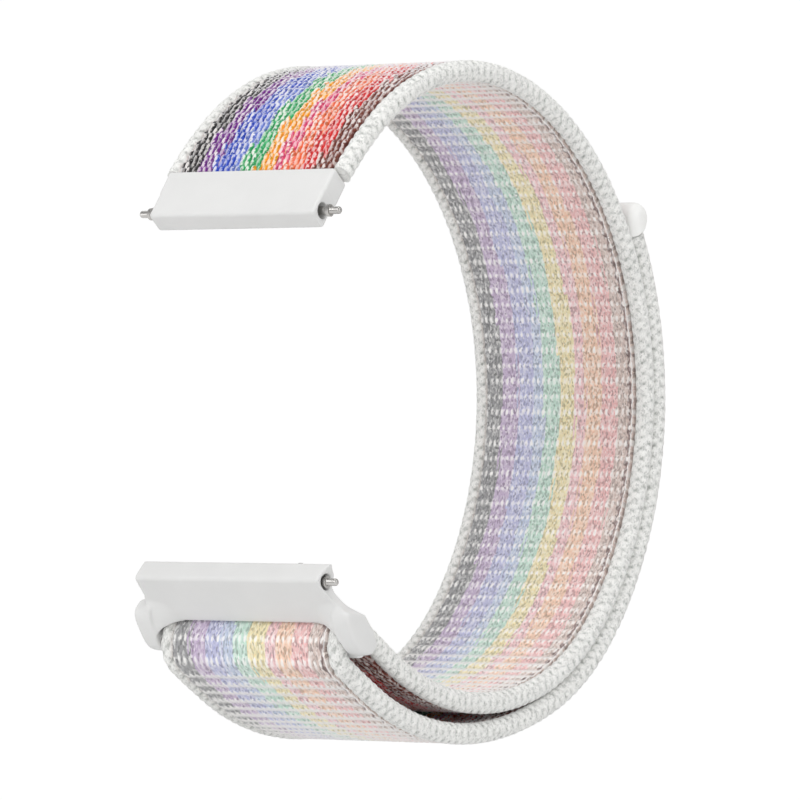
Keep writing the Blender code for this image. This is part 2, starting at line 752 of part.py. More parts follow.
def fairing_mesh(side, block_end, slot_half):
    """A patch on the block's outer face that rises towards one cheek and fades away from it."""
    start = slot_half - FAIRING_WIDTH
    end = slot_half + FAIRING_INTO_CHEEK
    low = BLOCK_PROUD - FAIRING_SINK
    near = block_end - SLOT_CORNER_RADIUS
    bm = bmesh.new()
    top, floor = [], []
    for i in range(FAIRING_STEPS + 1):
        across = start + (end - start) * i / FAIRING_STEPS
        top.append([])
        floor.append([])
        for j in range(FAIRING_STEPS + 1):
            along = near + (block_end + FAIRING_LENGTH - near) * j / FAIRING_STEPS
            fade = 1 - ease((along - block_end) / FAIRING_LENGTH)
            out = low + (FAIRING_TOP - low) * ease((across - start) / FAIRING_WIDTH) * fade
            top[i].append(bm.verts.new((side * across, along, out)))
            floor[i].append(bm.verts.new((side * across, along, BLOCK_PROUD - BLOCK_WEB_THICKNESS / 2)))
    last = FAIRING_STEPS
    for i in range(last):
        for j in range(last):
            for grid in (top, floor):
                bm.faces.new((grid[i][j], grid[i + 1][j], grid[i + 1][j + 1], grid[i][j + 1]))
        for j in (0, last):
            bm.faces.new((top[i][j], top[i + 1][j], floor[i + 1][j], floor[i][j]))
            bm.faces.new((top[j][i], top[j][i + 1], floor[j][i + 1], floor[j][i]))
    bmesh.ops.triangulate(bm, faces=bm.faces)
    bmesh.ops.recalc_face_normals(bm, faces=bm.faces)
    mesh = bpy.data.meshes.new("fairing")
    bm.to_mesh(mesh)
    bm.free()
    return mesh


def block_profile(block_end):
    """The block seen from its end: a thin web by the slot and a thicker barrel for the bar."""
    far_end = block_end + BLOCK_LENGTH
    inner = BLOCK_PROUD - BLOCK_THICKNESS
    outline = [
        (block_end, BLOCK_PROUD - BLOCK_BEVEL),
        (block_end + BLOCK_BEVEL, BLOCK_PROUD),
        (far_end - BLOCK_BEVEL, BLOCK_PROUD),
        (far_end, BLOCK_PROUD - BLOCK_BEVEL),
        (far_end, inner + BLOCK_BEVEL),
        (far_end - BLOCK_BEVEL, inner),
    ]
    centre = (far_end - BARREL_LENGTH - BLOCK_WEB_FILLET, inner)
    for i in range(ARC_STEPS + 1):
        angle = math.radians(90) * i / ARC_STEPS
        along = centre[0] + BLOCK_WEB_FILLET * math.cos(angle)
        out = centre[1] + BLOCK_WEB_FILLET * math.sin(angle)
        outline.append((along, out))
    outline.append((block_end, BLOCK_PROUD - BLOCK_WEB_THICKNESS))
    return outline


def bottom_bracket(kit, path):
    """The moulded bracket that the strap folds round. Its frame sits on the fold's axis."""
    heading = path.fold_heading - math.radians(BRACKET_TILT)
    frame = frame_at(path.fold_centre, heading)
    block_end = path.fold_radius + CORD_THICKNESS / 2 + SLOT_CLEARANCE
    half = BLOCK_WIDTH / 2
    block = plate_mesh(block_profile(block_end), -half, half)
    bracket = kit.part("bracket_frame", block, "moulding", frame)

    slot_half = SLOT_WIDTH / 2

    def cheek_ring(inset):
        points = []
        for point in CHEEK_OUTLINE:
            outward = Vector(point) - CHEEK_MIDDLE
            points.append(Vector(point) - inset * outward.normalized())
        return smooth_loop(points, CHEEK_STEPS)

    for side, word in ((-1, "left"), (1, "right")):
        inner, outer = slot_half - JOINING_OVERLAP, slot_half + CHEEK_THICKNESS
        stations = dome_stations(side * inner, side * outer, CHEEK_ROUNDING)
        cheek = kit.tool(f"{word}_cheek", domed_mesh(cheek_ring, stations), frame)
        combine(bracket, cheek, "UNION")
        fairing = kit.tool(f"{word}_fairing", fairing_mesh(side, block_end, slot_half), frame)
        combine(bracket, fairing, "UNION")
    opening = kit.tool("slot_opening", slot_tool_mesh(block_end, slot_half), frame)
    combine(bracket, opening, "DIFFERENCE")
    reach = slot_half + JOINING_OVERLAP
    fold_bar = kit.tool("fold_bar", cylinder_mesh(FOLD_BAR_RADIUS, -reach, reach), frame)
    combine(bracket, fold_bar, "UNION")

    bar = shifted(
        frame,
        along=block_end + BLOCK_LENGTH - BAR_FROM_END,
        out=BLOCK_PROUD - BAR_FROM_OUTER_FACE,
    )
    # A shallow groove across the right end leaves room round the sliding pin
    groove = cylinder_mesh(GROOVE_RADIUS, -GROOVE_LENGTH / 2, GROOVE_LENGTH / 2, GROOVE_STEPS)
    place = shifted(bar, across=half + GROOVE_RADIUS - GROOVE_DEPTH)
    place = place @ Matrix.Rotation(math.radians(GROOVE_LEAN), 4, "X")
    place = place @ Matrix.Rotation(math.radians(90), 4, "Z")
    combine(bracket, kit.tool("pin_groove", groove, place), "DIFFERENCE")
    cut_for_bar(kit, bracket, "bottom", bar, half, BLOCK_THICKNESS)
    return bar


def end_tab(kit, path, span_end):
    """The rounded tab moulded onto the tail's end. Its lip stands out so a finger can lift it."""
    frame = path.frame(span_end)

    def ring_for(inset):
        return circle_hull(
            (TAB_HEAD_ALONG, -TAB_HEAD_OUT), TAB_HEAD_RADIUS - inset,
            (TAB_FOOT_ALONG, -TAB_FOOT_OUT), TAB_FOOT_RADIUS - inset,
        )

    stations = dome_stations(0, -TAB_WIDTH / 2, TAB_END_ROUNDING)
    stations += dome_stations(0, TAB_WIDTH / 2, TAB_END_ROUNDING)[1:]
    tab = kit.part("end_tab", domed_mesh(ring_for, stations), "moulding", frame, smooth=True)
    below = box_mesh(
        (-TAB_WIDTH, TAB_WIDTH),
        (-TAB_FOOT_RADIUS * 2, MOUTH_GAP),
        (-TAB_HEAD_RADIUS * 2, TAB_HEAD_RADIUS * 2),
    )
    combine(tab, kit.tool("tab_flat_foot", below, frame), "DIFFERENCE")
    web = WEB_HALF_WIDTH + PLUG_CLEARANCE
    socket = box_mesh(
        (-web, web),
        (-CUT_OVERRUN, TAB_SOCKET_DEPTH + PLUG_CLEARANCE),
        (-FABRIC_THICKNESS / 2 - PLUG_CLEARANCE, PLUG_CLEARANCE),
    )
    combine(tab, kit.tool("tab_socket", socket, frame), "DIFFERENCE")


def tail(kit, path):
    """The tail in two stretches, so that it can be peeled off and swung open."""
    base_start = path.fold_end + TAIL_ROOT_RUN + HINGE_GAP
    end_start = path.length - TAB_SOCKET_DEPTH - HOOK_LENGTH
    root_hinge = path.frame(base_start - HINGE_GAP / 2, -CORD_THICKNESS / 2).to_translation()
    peel_hinge = path.frame(end_start - HINGE_GAP / 2, -CORD_THICKNESS / 2).to_translation()
    fabric_stretch(kit, "tail_base", path, (base_start, end_start - HINGE_GAP), root_hinge)
    end_span = (end_start, path.length - TAB_SOCKET_DEPTH)
    fabric_stretch(
        kit, "tail_end", path, end_span, peel_hinge, with_pile=False, rib_extra=TAB_SOCKET_DEPTH)
    hook_half = WEB_HALF_WIDTH - HOOK_SIDE_MARGIN
    fabric_layer(kit, "hook_patch", path, end_span, 1, "hook", peel_hinge, hook_half)
    end_tab(kit, path, end_span[1])


def build():
    """Model the strap and move it so that the origin lies between the spring bars."""
    clear_scene()
    kit = Kit()
    path = StrapPath()
    top_bar = top_adapter(kit, path)
    spring_bar(kit, "top", top_bar, BARREL_THICKNESS / 2)
    bottom_bar = bottom_bracket(kit, path)
    spring_bar(kit, "bottom", bottom_bar, BLOCK_THICKNESS - BAR_FROM_OUTER_FACE)
    main_span = (MOUTH_GAP, path.fold_end + TAIL_ROOT_RUN)
    fabric_stretch(kit, "main", path, main_span, Vector((0, 0, 0)))
    tail(kit, path)
    middle = (top_bar.to_translation() + bottom_bar.to_translation()) / 2
    for collection in (kit.parts, kit.cutters):
        for obj in collection.objects:
            obj.matrix_world = Matrix.Translation(-middle) @ obj.matrix_world


build()
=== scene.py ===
# %% [markdown]
# # A woven hook and loop watch strap
# One long strip of nylon starts in the top adapter, runs round the wrist, passes out through the
# bottom bracket and comes back outside itself as the tail. The CAD model already has every solid
# in its true place. This lesson lays yarn, braid and moulded skin over those solids, piece by
# piece, and leaves the model's sizes alone.

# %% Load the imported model
import math

import bmesh
import bpy
import numpy as np
from mathutils import Matrix, Vector


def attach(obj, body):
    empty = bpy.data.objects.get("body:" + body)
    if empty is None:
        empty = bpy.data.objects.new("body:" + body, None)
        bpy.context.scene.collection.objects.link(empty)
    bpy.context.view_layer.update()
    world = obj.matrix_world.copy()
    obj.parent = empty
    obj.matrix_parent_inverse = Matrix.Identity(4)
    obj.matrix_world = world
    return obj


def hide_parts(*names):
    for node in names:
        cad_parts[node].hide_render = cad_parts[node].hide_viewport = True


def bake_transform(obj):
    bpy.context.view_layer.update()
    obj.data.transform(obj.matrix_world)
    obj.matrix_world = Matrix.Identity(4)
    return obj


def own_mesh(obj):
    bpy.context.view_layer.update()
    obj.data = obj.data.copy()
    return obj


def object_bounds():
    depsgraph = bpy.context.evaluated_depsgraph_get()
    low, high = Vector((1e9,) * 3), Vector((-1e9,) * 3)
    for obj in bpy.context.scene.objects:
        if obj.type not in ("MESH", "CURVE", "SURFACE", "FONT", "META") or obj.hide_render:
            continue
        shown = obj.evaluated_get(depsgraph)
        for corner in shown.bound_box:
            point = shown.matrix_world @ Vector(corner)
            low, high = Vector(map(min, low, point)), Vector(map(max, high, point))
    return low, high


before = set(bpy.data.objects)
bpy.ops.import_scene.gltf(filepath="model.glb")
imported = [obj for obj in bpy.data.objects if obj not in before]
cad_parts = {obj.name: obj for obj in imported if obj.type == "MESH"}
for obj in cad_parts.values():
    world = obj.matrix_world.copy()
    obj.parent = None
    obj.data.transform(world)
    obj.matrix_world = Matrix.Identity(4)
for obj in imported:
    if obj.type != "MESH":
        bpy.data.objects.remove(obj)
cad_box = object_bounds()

MM = 0.001
print("CAD box in mm:", [[round(value / MM, 2) for value in corner] for corner in cad_box])

# %% [markdown]
# ## The camera
# A long lens far away keeps the strap's two edges almost parallel, as product photographs do. It
# looks level at the loop from 56 degrees off the strap's own axis. It could be placed by eye, but
# three numbers (angle, distance, lens) found from the loop's outline are easier to check.

# %% Camera
VIEW_TURN = math.radians(56.0)
VIEW_DISTANCE = 643.97 * MM
VIEW_ROLL = -0.00233
LENS = 293.96
LOOK_AT = Vector((0.0, 27.51119 * MM, -0.37706 * MM))


def add_object(name, data):
    """A new object that holds the data, linked into the scene."""
    obj = bpy.data.objects.new(name, data)
    bpy.context.scene.collection.objects.link(obj)
    return obj


def place_camera():
    """The camera looks along (-cos turn, sin turn, 0) at the loop's middle, with Z up."""
    cosine, sine = math.cos(VIEW_TURN), math.sin(VIEW_TURN)
    right, up, forward = Vector((sine, cosine, 0)), Vector((0, 0, 1)), Vector((-cosine, sine, 0))
    turn = Matrix((right, up, -forward)).transposed().to_4x4()
    data = bpy.data.cameras.new("photo_camera")
    data.lens = LENS
    data.clip_start = 0.05
    data.clip_end = 20.0
    camera = add_object("photo_camera", data)
    place = Matrix.Translation(LOOK_AT - forward * VIEW_DISTANCE)
    camera.matrix_world = place @ turn @ Matrix.Rotation(VIEW_ROLL, 4, "Z")
    bpy.context.scene.camera = camera
    return camera


print("camera at", [round(value, 4) for value in place_camera().matrix_world.translation])

# %% [markdown]
# ## The strap's middle line
# All the fabric follows one line in the side plane: five arcs, a short straight run, a half turn
# round the bracket's bar, and the tail, which is the main run again, moved outwards. The line
# could be a curve object, but as arrays of points and headings any sheet of points can be laid
# beside it at once.

# %% Middle line
MOUTH = np.array((3.2804, 20.8584))
START_HEADING = math.radians(47.0)
LOOP_ARCS = ((12.0, 41.2), (42.7, 28.8), (127.2, 31.75), (29.6, 24.85), (47.5, 33.8))
STRAIGHT_RUN = 5.6
FOLD_RADIUS = 2.2
TAIL_COVER = 88.4
TAIL_OPENING_RUN = 36.0
TAIL_GAP = 2.22
LINE_STEP = 0.1


def running_length(points):
    """The distance walked at each point: the running sum of the steps' lengths."""
    return np.concatenate(((0,), np.cumsum(np.linalg.norm(np.diff(points, axis=0), axis=1))))


def walk(start, heading, length, turn):
    """Even steps whose heading turns evenly; each point is the sum of the steps before it."""
    count = max(2, round(length / LINE_STEP))
    headings = heading + turn * (np.arange(count) + 0.5) / count
    steps = np.stack((np.cos(headings), np.sin(headings)), axis=1) * length / count
    return start + np.cumsum(steps, axis=0)


def headings_of(points):
    """The direction of travel at each point, unwrapped so that it never jumps."""
    step = np.gradient(points, axis=0)
    return np.unwrap(np.arctan2(step[:, 1], step[:, 0]))


def middle_line():
    """The main run, the fold and the tail as one row of points (y, z) in millimetres."""
    parts, heading = [MOUTH[None, :]], START_HEADING
    for degrees, radius in LOOP_ARCS:
        turn = math.radians(degrees)
        parts.append(walk(parts[-1][-1], heading, radius * turn, -turn))
        heading -= turn
    parts.append(walk(parts[-1][-1], heading, STRAIGHT_RUN, 0))
    main = np.vstack(parts)
    fold = walk(main[-1], headings_of(main)[-1], FOLD_RADIUS * math.pi, math.pi)
    along = running_length(main)
    rise = np.clip((along - (along[-1] - TAIL_OPENING_RUN)) / TAIL_OPENING_RUN, 0, 1)
    distance = TAIL_GAP + (2 * FOLD_RADIUS - TAIL_GAP) * rise * rise * (3 - 2 * rise)
    turned = headings_of(main)
    left = np.stack((-np.sin(turned), np.cos(turned)), axis=1)
    tail = (main + left * distance[:, None])[along >= along[-1] - TAIL_COVER][::-1]
    return np.vstack((main, fold, tail[1:])), along[-1], along[-1] + FOLD_RADIUS * math.pi


LINE, MAIN_END, FOLD_END = middle_line()
LINE_AT = running_length(LINE)
LINE_HEADING = headings_of(LINE)
STRAP_END = LINE_AT[-1]


def on_strap(along, across, out):
    """Points beside the middle line: middle(along) + across on X + out on the left normal."""
    y = np.interp(along, LINE_AT, LINE[:, 0])
    z = np.interp(along, LINE_AT, LINE[:, 1])
    heading = np.interp(along, LINE_AT, LINE_HEADING)
    y, z = y - np.sin(heading) * out, z + np.cos(heading) * out
    return np.stack(np.broadcast_arrays(across, y, z), axis=-1)


print(f"main run {MAIN_END:.2f} mm, fold to {FOLD_END:.2f} mm, whole strap {STRAP_END:.2f} mm")

# %% [markdown]
# ## Turning arrays into meshes
# Most pieces here are sleeves: a ring of points carried along a row of stations, with a lid on
# each end. Blender's own primitives could be bent into place, but a sleeve computed as one array
# keeps every stitch where the weave says. A UV map in real sizes lets the materials find the
# same stitches, and an attribute can hold one more number for each point.

# %% Sleeves to meshes
# Millimetres of strap that make one unit of the UV map
UV_LENGTH = 100.0


def sleeve_faces(stations, ring, flip):
    """Corner numbers of a closed sleeve: quads between the rings, then a lid at each end."""
    row = np.arange(stations - 1)[:, None] * ring
    column = np.arange(ring)[None, :]
    after = (column + 1) % ring
    corners = [row + column, row + after, row + ring + after, row + ring + column]
    quads = np.stack(np.broadcast_arrays(*corners), axis=-1).reshape(-1, 4)
    first, last = np.arange(ring)[None, ::-1], np.arange(ring)[None, :] + (stations - 1) * ring
    if flip:
        quads, first, last = quads[:, ::-1], first[:, ::-1], last[:, ::-1]
    return [quads, first, last]


def make_mesh(name, points, faces, uv=None, smooth=True, **attributes):
    """Put arrays into a new mesh object. Points are in millimetres; uv has a pair per corner."""
    corners = np.concatenate([part.ravel() for part in faces]).astype(np.int32)
    sizes = np.concatenate([np.full(len(part), part.shape[1]) for part in faces])
    starts = np.concatenate(((0,), np.cumsum(sizes)[:-1])).astype(np.int32)
    mesh = bpy.data.meshes.new(name)
    mesh.vertices.add(len(points))
    mesh.vertices.foreach_set("co", (points * MM).astype(np.float32).ravel())
    mesh.loops.add(len(corners))
    mesh.loops.foreach_set("vertex_index", corners)
    mesh.polygons.add(len(sizes))
    mesh.polygons.foreach_set("loop_start", starts)
    mesh.update(calc_edges=True)
    if uv is not None:
        layer = mesh.uv_layers.new(name="weave")
        layer.uv.foreach_set("vector", uv.astype(np.float32).ravel())
    for key, values in attributes.items():
        attribute = mesh.attributes.new(key, "FLOAT", "POINT")
        attribute.data.foreach_set("value", values.astype(np.float32).ravel())
    if smooth:
        mesh.shade_smooth()
        mesh.set_sharp_from_angle(angle=math.radians(75))
    return add_object(name, mesh)


def sleeve(name, along, across, out, around, flip, **attributes):
    """A closed sleeve on the strap. The UV map holds (place round the ring, along / UV_LENGTH)."""
    stations, ring = out.shape
    points = on_strap(along[:, None], across, out).reshape(-1, 3)
    faces = sleeve_faces(stations, ring, flip)
    left, right = around[None, :], np.append(around[1:], around[0] + 1)[None, :]
    rows = along / UV_LENGTH
    low, high = rows[:-1, None], rows[1:, None]
    pairs = [(left, low), (right, low), (right, high), (left, high)]
    uv = np.stack([np.stack(np.broadcast_arrays(*pair), axis=-1) for pair in pairs], axis=2)
    uv = uv.reshape(-1, 4, 2)
    lids = [np.stack((around[lid[0] % ring], rows[lid[0] // ring]), axis=-1) for lid in faces[1:]]
    uv = np.vstack([(uv[:, ::-1] if flip else uv).reshape(-1, 2), *lids])
    return make_mesh(name, points, faces, uv, **attributes)


print("helpers ready: sleeve_faces, make_mesh, sleeve")

# %% [markdown]
# ## The weave
# The strap has two faces. The wrist side is a ribbed lining: a row of short round stitches and a
# row of long slanting ones take turns. The other side is loop pile: two sets of slanting loops,
# one set half a step behind the other, for the hooks to grip. Both could be bump maps, but the
# stitches show on the silhouette and shade each other, so each one is a real bulge. One short
# table holds both patterns, and the materials later read the same numbers.

# %% Stitch patterns
COLUMNS = 28
WEB_HALF_WIDTH = 8.88
COLUMN_WIDTH = 2 * WEB_HALF_WIDTH / COLUMNS
RIB_PITCH = 3.28
LOOP_PITCH = 1.64
# Each row: shift along, shift across, lean, width and length, all as shares of a repeat
LINING_STITCHES = ((0.10, 0.0, 0.2, 0.9, 0.26), (0.60, 0.5, 0.6, 0.9, 0.38))
PILE_STITCHES = ((0.25, 0.0, 0.54, 0.68, 0.72), (0.75, 0.75, 0.54, 0.68, 0.72))
STITCH_SHIFT = 0.18
CHANCE_BY_COLUMN, CHANCE_BY_ROW, CHANCE_SPREAD = 0.7549, 0.5698, 31.7
# Heights above the strap's middle, in millimetres
LINING_GROUND, LINING_SWELL, LINING_STITCH = 0.84, 0.05, 0.11
PILE_GROUND, PILE_LOOP = 0.7, 0.28
HIDDEN_BACK = 0.05
LINING_STEP, PILE_STEP = RIB_PITCH / 16, 0.19


def chance(column, row):
    """A number from 0 to 1 for each stitch, the fraction of a steep sum of column and row."""
    spread = np.mod(CHANCE_BY_COLUMN * column + CHANCE_BY_ROW * row, 1)
    return np.mod(CHANCE_SPREAD * spread, 1)


def stitches(column, row, pattern):
    """Crest of rounded stitches: the root of 1 - side squared - end squared, the highest set."""
    crest = np.zeros(np.broadcast_shapes(np.shape(column), np.shape(row)))
    for shift_along, shift_across, lean, width, length in pattern:
        place = row - shift_along + 0.5
        phase = np.mod(place, 1) - 0.5
        leaned = column + shift_across + lean * phase
        moved = STITCH_SHIFT * (chance(np.floor(leaned), np.floor(place)) - 0.5)
        side = 2 * (np.mod(leaned, 1) - 0.5 + moved) / width
        crest = np.maximum(crest, np.sqrt(np.clip(1 - side ** 2 - (2 * phase / length) ** 2, 0, 1)))
    return crest


def ribbed_face(column, along):
    """Height of the lining: ground + swell under each row of stitches + their crests."""
    row = along / RIB_PITCH
    swell = 0.5 + 0.5 * np.cos(4 * np.pi * (row - 0.09))
    crest = stitches(column, row, LINING_STITCHES)
    return LINING_GROUND + LINING_SWELL * swell + LINING_STITCH * crest


def pile_face(column, along):
    """Height of the pile: a flat ground + the crests of the loops that stand on it."""
    return PILE_GROUND + PILE_LOOP * stitches(column, along / LOOP_PITCH, PILE_STITCHES)


def woven_layer(name, start, end, side, step, face):
    """One face of the strap as a closed sleeve: the stitched face and a plain hidden back."""
    along = np.linspace(start, end, max(3, round((end - start) / step) + 1))
    across = np.linspace(-WEB_HALF_WIDTH, WEB_HALF_WIDTH, COLUMNS * 4 + 1)
    out = face((across[None, :] + WEB_HALF_WIDTH) / COLUMN_WIDTH, along[:, None])
    out = side * np.hstack((out, np.full((len(along), 2), HIDDEN_BACK)))
    ring = np.append(across, (WEB_HALF_WIDTH, -WEB_HALF_WIDTH))
    around = (ring + WEB_HALF_WIDTH) / (2 * WEB_HALF_WIDTH)
    print(f"{name}: {len(along)} rows of {len(ring)} points")
    return sleeve(name, along, ring, out, around, flip=side < 0)


print(f"{COLUMNS} columns of stitches, each {COLUMN_WIDTH:.3f} mm wide")

# %% [markdown]
# ## The edge cords
# A soft plaited cord runs along each edge. Its strands lie in six columns of puffs round the cord,
# and neighbouring columns lean opposite ways, like a plait. It could be woven from real strands,
# but only the outside of the puffs ever shows, so the stitch formula above raises them on one
# tube. The attribute crest keeps each point's height in its puff for the cord's material.

# %% Plaited cord
CORD_MIDDLE = 9.7
CORD_HALF_WIDTH = 0.82
CORD_HALF_THICKNESS = 1.04
CORD_COLUMNS = 3
CORD_PITCH = 1.12
CORD_STEP, CORD_RING = 0.13, 36
PUFF_RISE, PUFF_LEVEL = 0.33, 0.85
PLAIT = ((0.0, 0.0, 0.36, 1.1, 1.16), (0.5, 0.5, -0.36, 1.1, 1.16))


def edge_cord(name, start, end, side):
    """A plaited cord: an ellipse (width cosine, thickness sine) that grows with the puffs."""
    along = np.linspace(start, end, max(3, round((end - start) / CORD_STEP) + 1))
    around = np.arange(CORD_RING) / CORD_RING
    crest = stitches(around[None, :] * CORD_COLUMNS, along[:, None] / CORD_PITCH, PLAIT)
    grow = PUFF_RISE * (crest - PUFF_LEVEL)
    angle = 2 * np.pi * around[None, :]
    across = side * CORD_MIDDLE + (CORD_HALF_WIDTH + grow) * np.cos(angle)
    out = (CORD_HALF_THICKNESS + grow) * np.sin(angle)
    return sleeve(name, along, across, out, around, flip=True, crest=crest)


print(f"a cord is {2 * CORD_HALF_WIDTH:.2f} x {2 * CORD_HALF_THICKNESS:.2f} mm before its puffs")

# %% [markdown]
# ## Loose fibres
# Brushed nylon is never quite smooth: fine pale fibres stand off the pile and the cords and soften
# the outline. A hair system could grow them too, but a plain mesh takes the same bend at a hinge
# as the fabric does. So some fourteen thousand bent three-sided needles give the soft edge.

# %% Fibres
FIBRE_RADIUS = 0.016
PILE_FIBRES_PER_MM, CORD_FIBRES_PER_MM = 30, 17
PILE_ROOT_HEIGHT = 0.84
CORD_ROOT_WIDTH, CORD_ROOT_HEIGHT = 0.72, 0.92
SHORTEST_FIBRE, LONGEST_FIBRE = 0.2, 0.48
CLEAR_END = 0.3


def needles(roots, ways, lengths, shares, name):
    """Bent needles in strap places (along, across, out): root + reach x way, bent to one side."""
    ways = ways / np.linalg.norm(ways, axis=1, keepdims=True)
    first = np.cross(ways, (0.31, 0.52, 0.79))
    first /= np.linalg.norm(first, axis=1, keepdims=True)
    second = np.cross(ways, first)
    angle = 2 * np.pi * np.arange(3)[:, None] / 3
    corners = FIBRE_RADIUS * (first[:, None] * np.cos(angle) + second[:, None] * np.sin(angle))
    reach = ways * lengths[:, None]
    middle = roots + 0.55 * reach
    tip = roots + 0.85 * reach + 0.3 * lengths[:, None] * first
    rings = (roots[:, None] + corners, middle[:, None] + 0.7 * corners, tip[:, None])
    along, across, out = np.moveaxis(np.concatenate(rings, axis=1), 2, 0)
    points = on_strap(along, across, out).reshape(-1, 3)
    # Seven points to a needle: three low corners, three high ones and the tip
    shift = np.arange(len(roots))[:, None, None] * 7
    one, after = np.arange(3), (np.arange(3) + 1) % 3
    sides = np.stack((one, after, after + 3, one + 3), axis=1) + shift
    tips = np.stack((one + 3, after + 3, np.full(3, 6)), axis=1) + shift
    lids = np.array([[2, 1, 0]]) + shift
    faces = [sides.reshape(-1, 4), tips.reshape(-1, 3), lids.reshape(-1, 3)]
    place = np.stack((shares, roots[:, 0] / UV_LENGTH), axis=1)
    uv = np.concatenate([np.repeat(place, corner_count, axis=0) for corner_count in (12, 9, 3)])
    return make_mesh(name, points, faces, uv)


def loose_fibres(name, start, end, seed):
    """Fibres on the pile and round both cords, in places and ways drawn from a seeded generator."""
    draw = np.random.default_rng(seed)
    count = round((end - start) * PILE_FIBRES_PER_MM)
    along = draw.uniform(start + CLEAR_END, end - CLEAR_END, count)
    across = draw.uniform(-WEB_HALF_WIDTH, WEB_HALF_WIDTH, count)
    pile_roots = np.stack((along, across, np.full(count, PILE_ROOT_HEIGHT)), axis=1)
    ahead, aside = draw.normal(0, 0.6, count), draw.normal(0, 0.6, count)
    pile_ways = np.stack((ahead, aside, np.ones(count)), axis=1)
    count = round((end - start) * CORD_FIBRES_PER_MM * 2)
    side = np.where(draw.random(count) < 0.5, -1, 1)
    angle = draw.uniform(0, 2 * np.pi, count)
    along = draw.uniform(start + CLEAR_END, end - CLEAR_END, count)
    sideways, outwards = np.cos(angle), np.sin(angle)
    across = side * CORD_MIDDLE + CORD_ROOT_WIDTH * sideways
    cord_roots = np.stack((along, across, CORD_ROOT_HEIGHT * outwards), axis=1)
    ahead = draw.normal(0, 0.7, count)
    aside = sideways + draw.normal(0, 0.4, count)
    cord_ways = np.stack((ahead, aside, outwards + draw.normal(0, 0.4, count)), axis=1)
    roots, ways = np.vstack((pile_roots, cord_roots)), np.vstack((pile_ways, cord_ways))
    shares = np.clip((roots[:, 1] + WEB_HALF_WIDTH) / (2 * WEB_HALF_WIDTH), 0, 1)
    lengths = draw.uniform(SHORTEST_FIBRE, LONGEST_FIBRE, len(roots))
    print(f"{name}: {len(roots)} fibres")
    return needles(roots, ways, lengths, shares, name)


print("a fibre is", SHORTEST_FIBRE, "to", LONGEST_FIBRE, "mm long")

# %% [markdown]
# ## Laying the fabric
# The main run, the fold and the first millimetre of the tail stay with the loop. The tail swings
# and peels, and each cut between its pieces lies where both sides move alike.

# %% Main run and tail
TAB_SOCKET_DEPTH = 1.3
HOOK_LENGTH = 24.0
END_GAP = 0.15
# The cuts and ends are places along the strap, in millimetres from the top adapter
ROOT_CUT = FOLD_END + 0.9
MIDDLE_CUT = FOLD_END + 2.3 + 30.0
HOOK_START = STRAP_END - TAB_SOCKET_DEPTH - HOOK_LENGTH
TIP_END = STRAP_END - TAB_SOCKET_DEPTH + 0.1
fabric = {}

for number, (key, start, end) in enumerate((
    ("main", END_GAP, ROOT_CUT), ("tail_root", ROOT_CUT, MIDDLE_CUT),
    ("tail_tip", MIDDLE_CUT, TIP_END),
)):
    pile_end = HOOK_START - END_GAP if key == "tail_tip" else end
    rib_end = STRAP_END if key == "tail_tip" else end
    fabric[key] = {
        "pile": woven_layer(f"{key}_loop_pile", start, pile_end, 1, PILE_STEP, pile_face),
        "ribbed": woven_layer(f"{key}_ribbed_lining", start, rib_end, -1, LINING_STEP, ribbed_face),
        "left": edge_cord(f"{key}_left_cord", start, end, -1),
        "right": edge_cord(f"{key}_right_cord", start, end, 1),
        "fibres": loose_fibres(f"{key}_loose_fibres", start, pile_end, 11 + number),
    }

# %% [markdown]
# ## The hook patch
# Under the tail's end sits a stiff white strip with rows of tiny hooks. Each hook is a short
# bent stem. One stem is drawn once as a bent tube of a few faces, and an array of places copies
# it all over the strip. They face the main run's pile and show when the tail is peeled off.

# %% Hook patch
HOOK_HALF_WIDTH = 8.45
HOOK_PITCH = 0.78
HOOK_MARGIN = 0.5
STRIP_STATIONS, STRIP_POINTS, STRIP_FACE = 60, 24, 0.66
# The stem's middle line (ahead, out) and its half thickness, from its foot to its tip
STEM_LINE = np.array(((0, 0.6), (0, 0.82), (0.03, 0.93), (0.12, 0.98), (0.2, 0.93), (0.22, 0.86)))
STEM_THICKNESS = np.array((0.075, 0.06, 0.055, 0.05, 0.045, 0.02))


def flat_strip():
    """Points and faces of the strip: a nearly flat face with fine ridges, a sine across it."""
    along = np.linspace(HOOK_START, TIP_END, STRIP_STATIONS)
    across = np.linspace(-HOOK_HALF_WIDTH, HOOK_HALF_WIDTH, STRIP_POINTS)
    face = np.tile(STRIP_FACE + 0.015 * np.sin(across * 8), (STRIP_STATIONS, 1))
    ring = np.append(across, (HOOK_HALF_WIDTH, -HOOK_HALF_WIDTH))
    out = np.hstack((face, np.full((STRIP_STATIONS, 2), HIDDEN_BACK)))
    points = on_strap(along[:, None], ring, out).reshape(-1, 3)
    return points, sleeve_faces(STRIP_STATIONS, STRIP_POINTS + 2, flip=False)


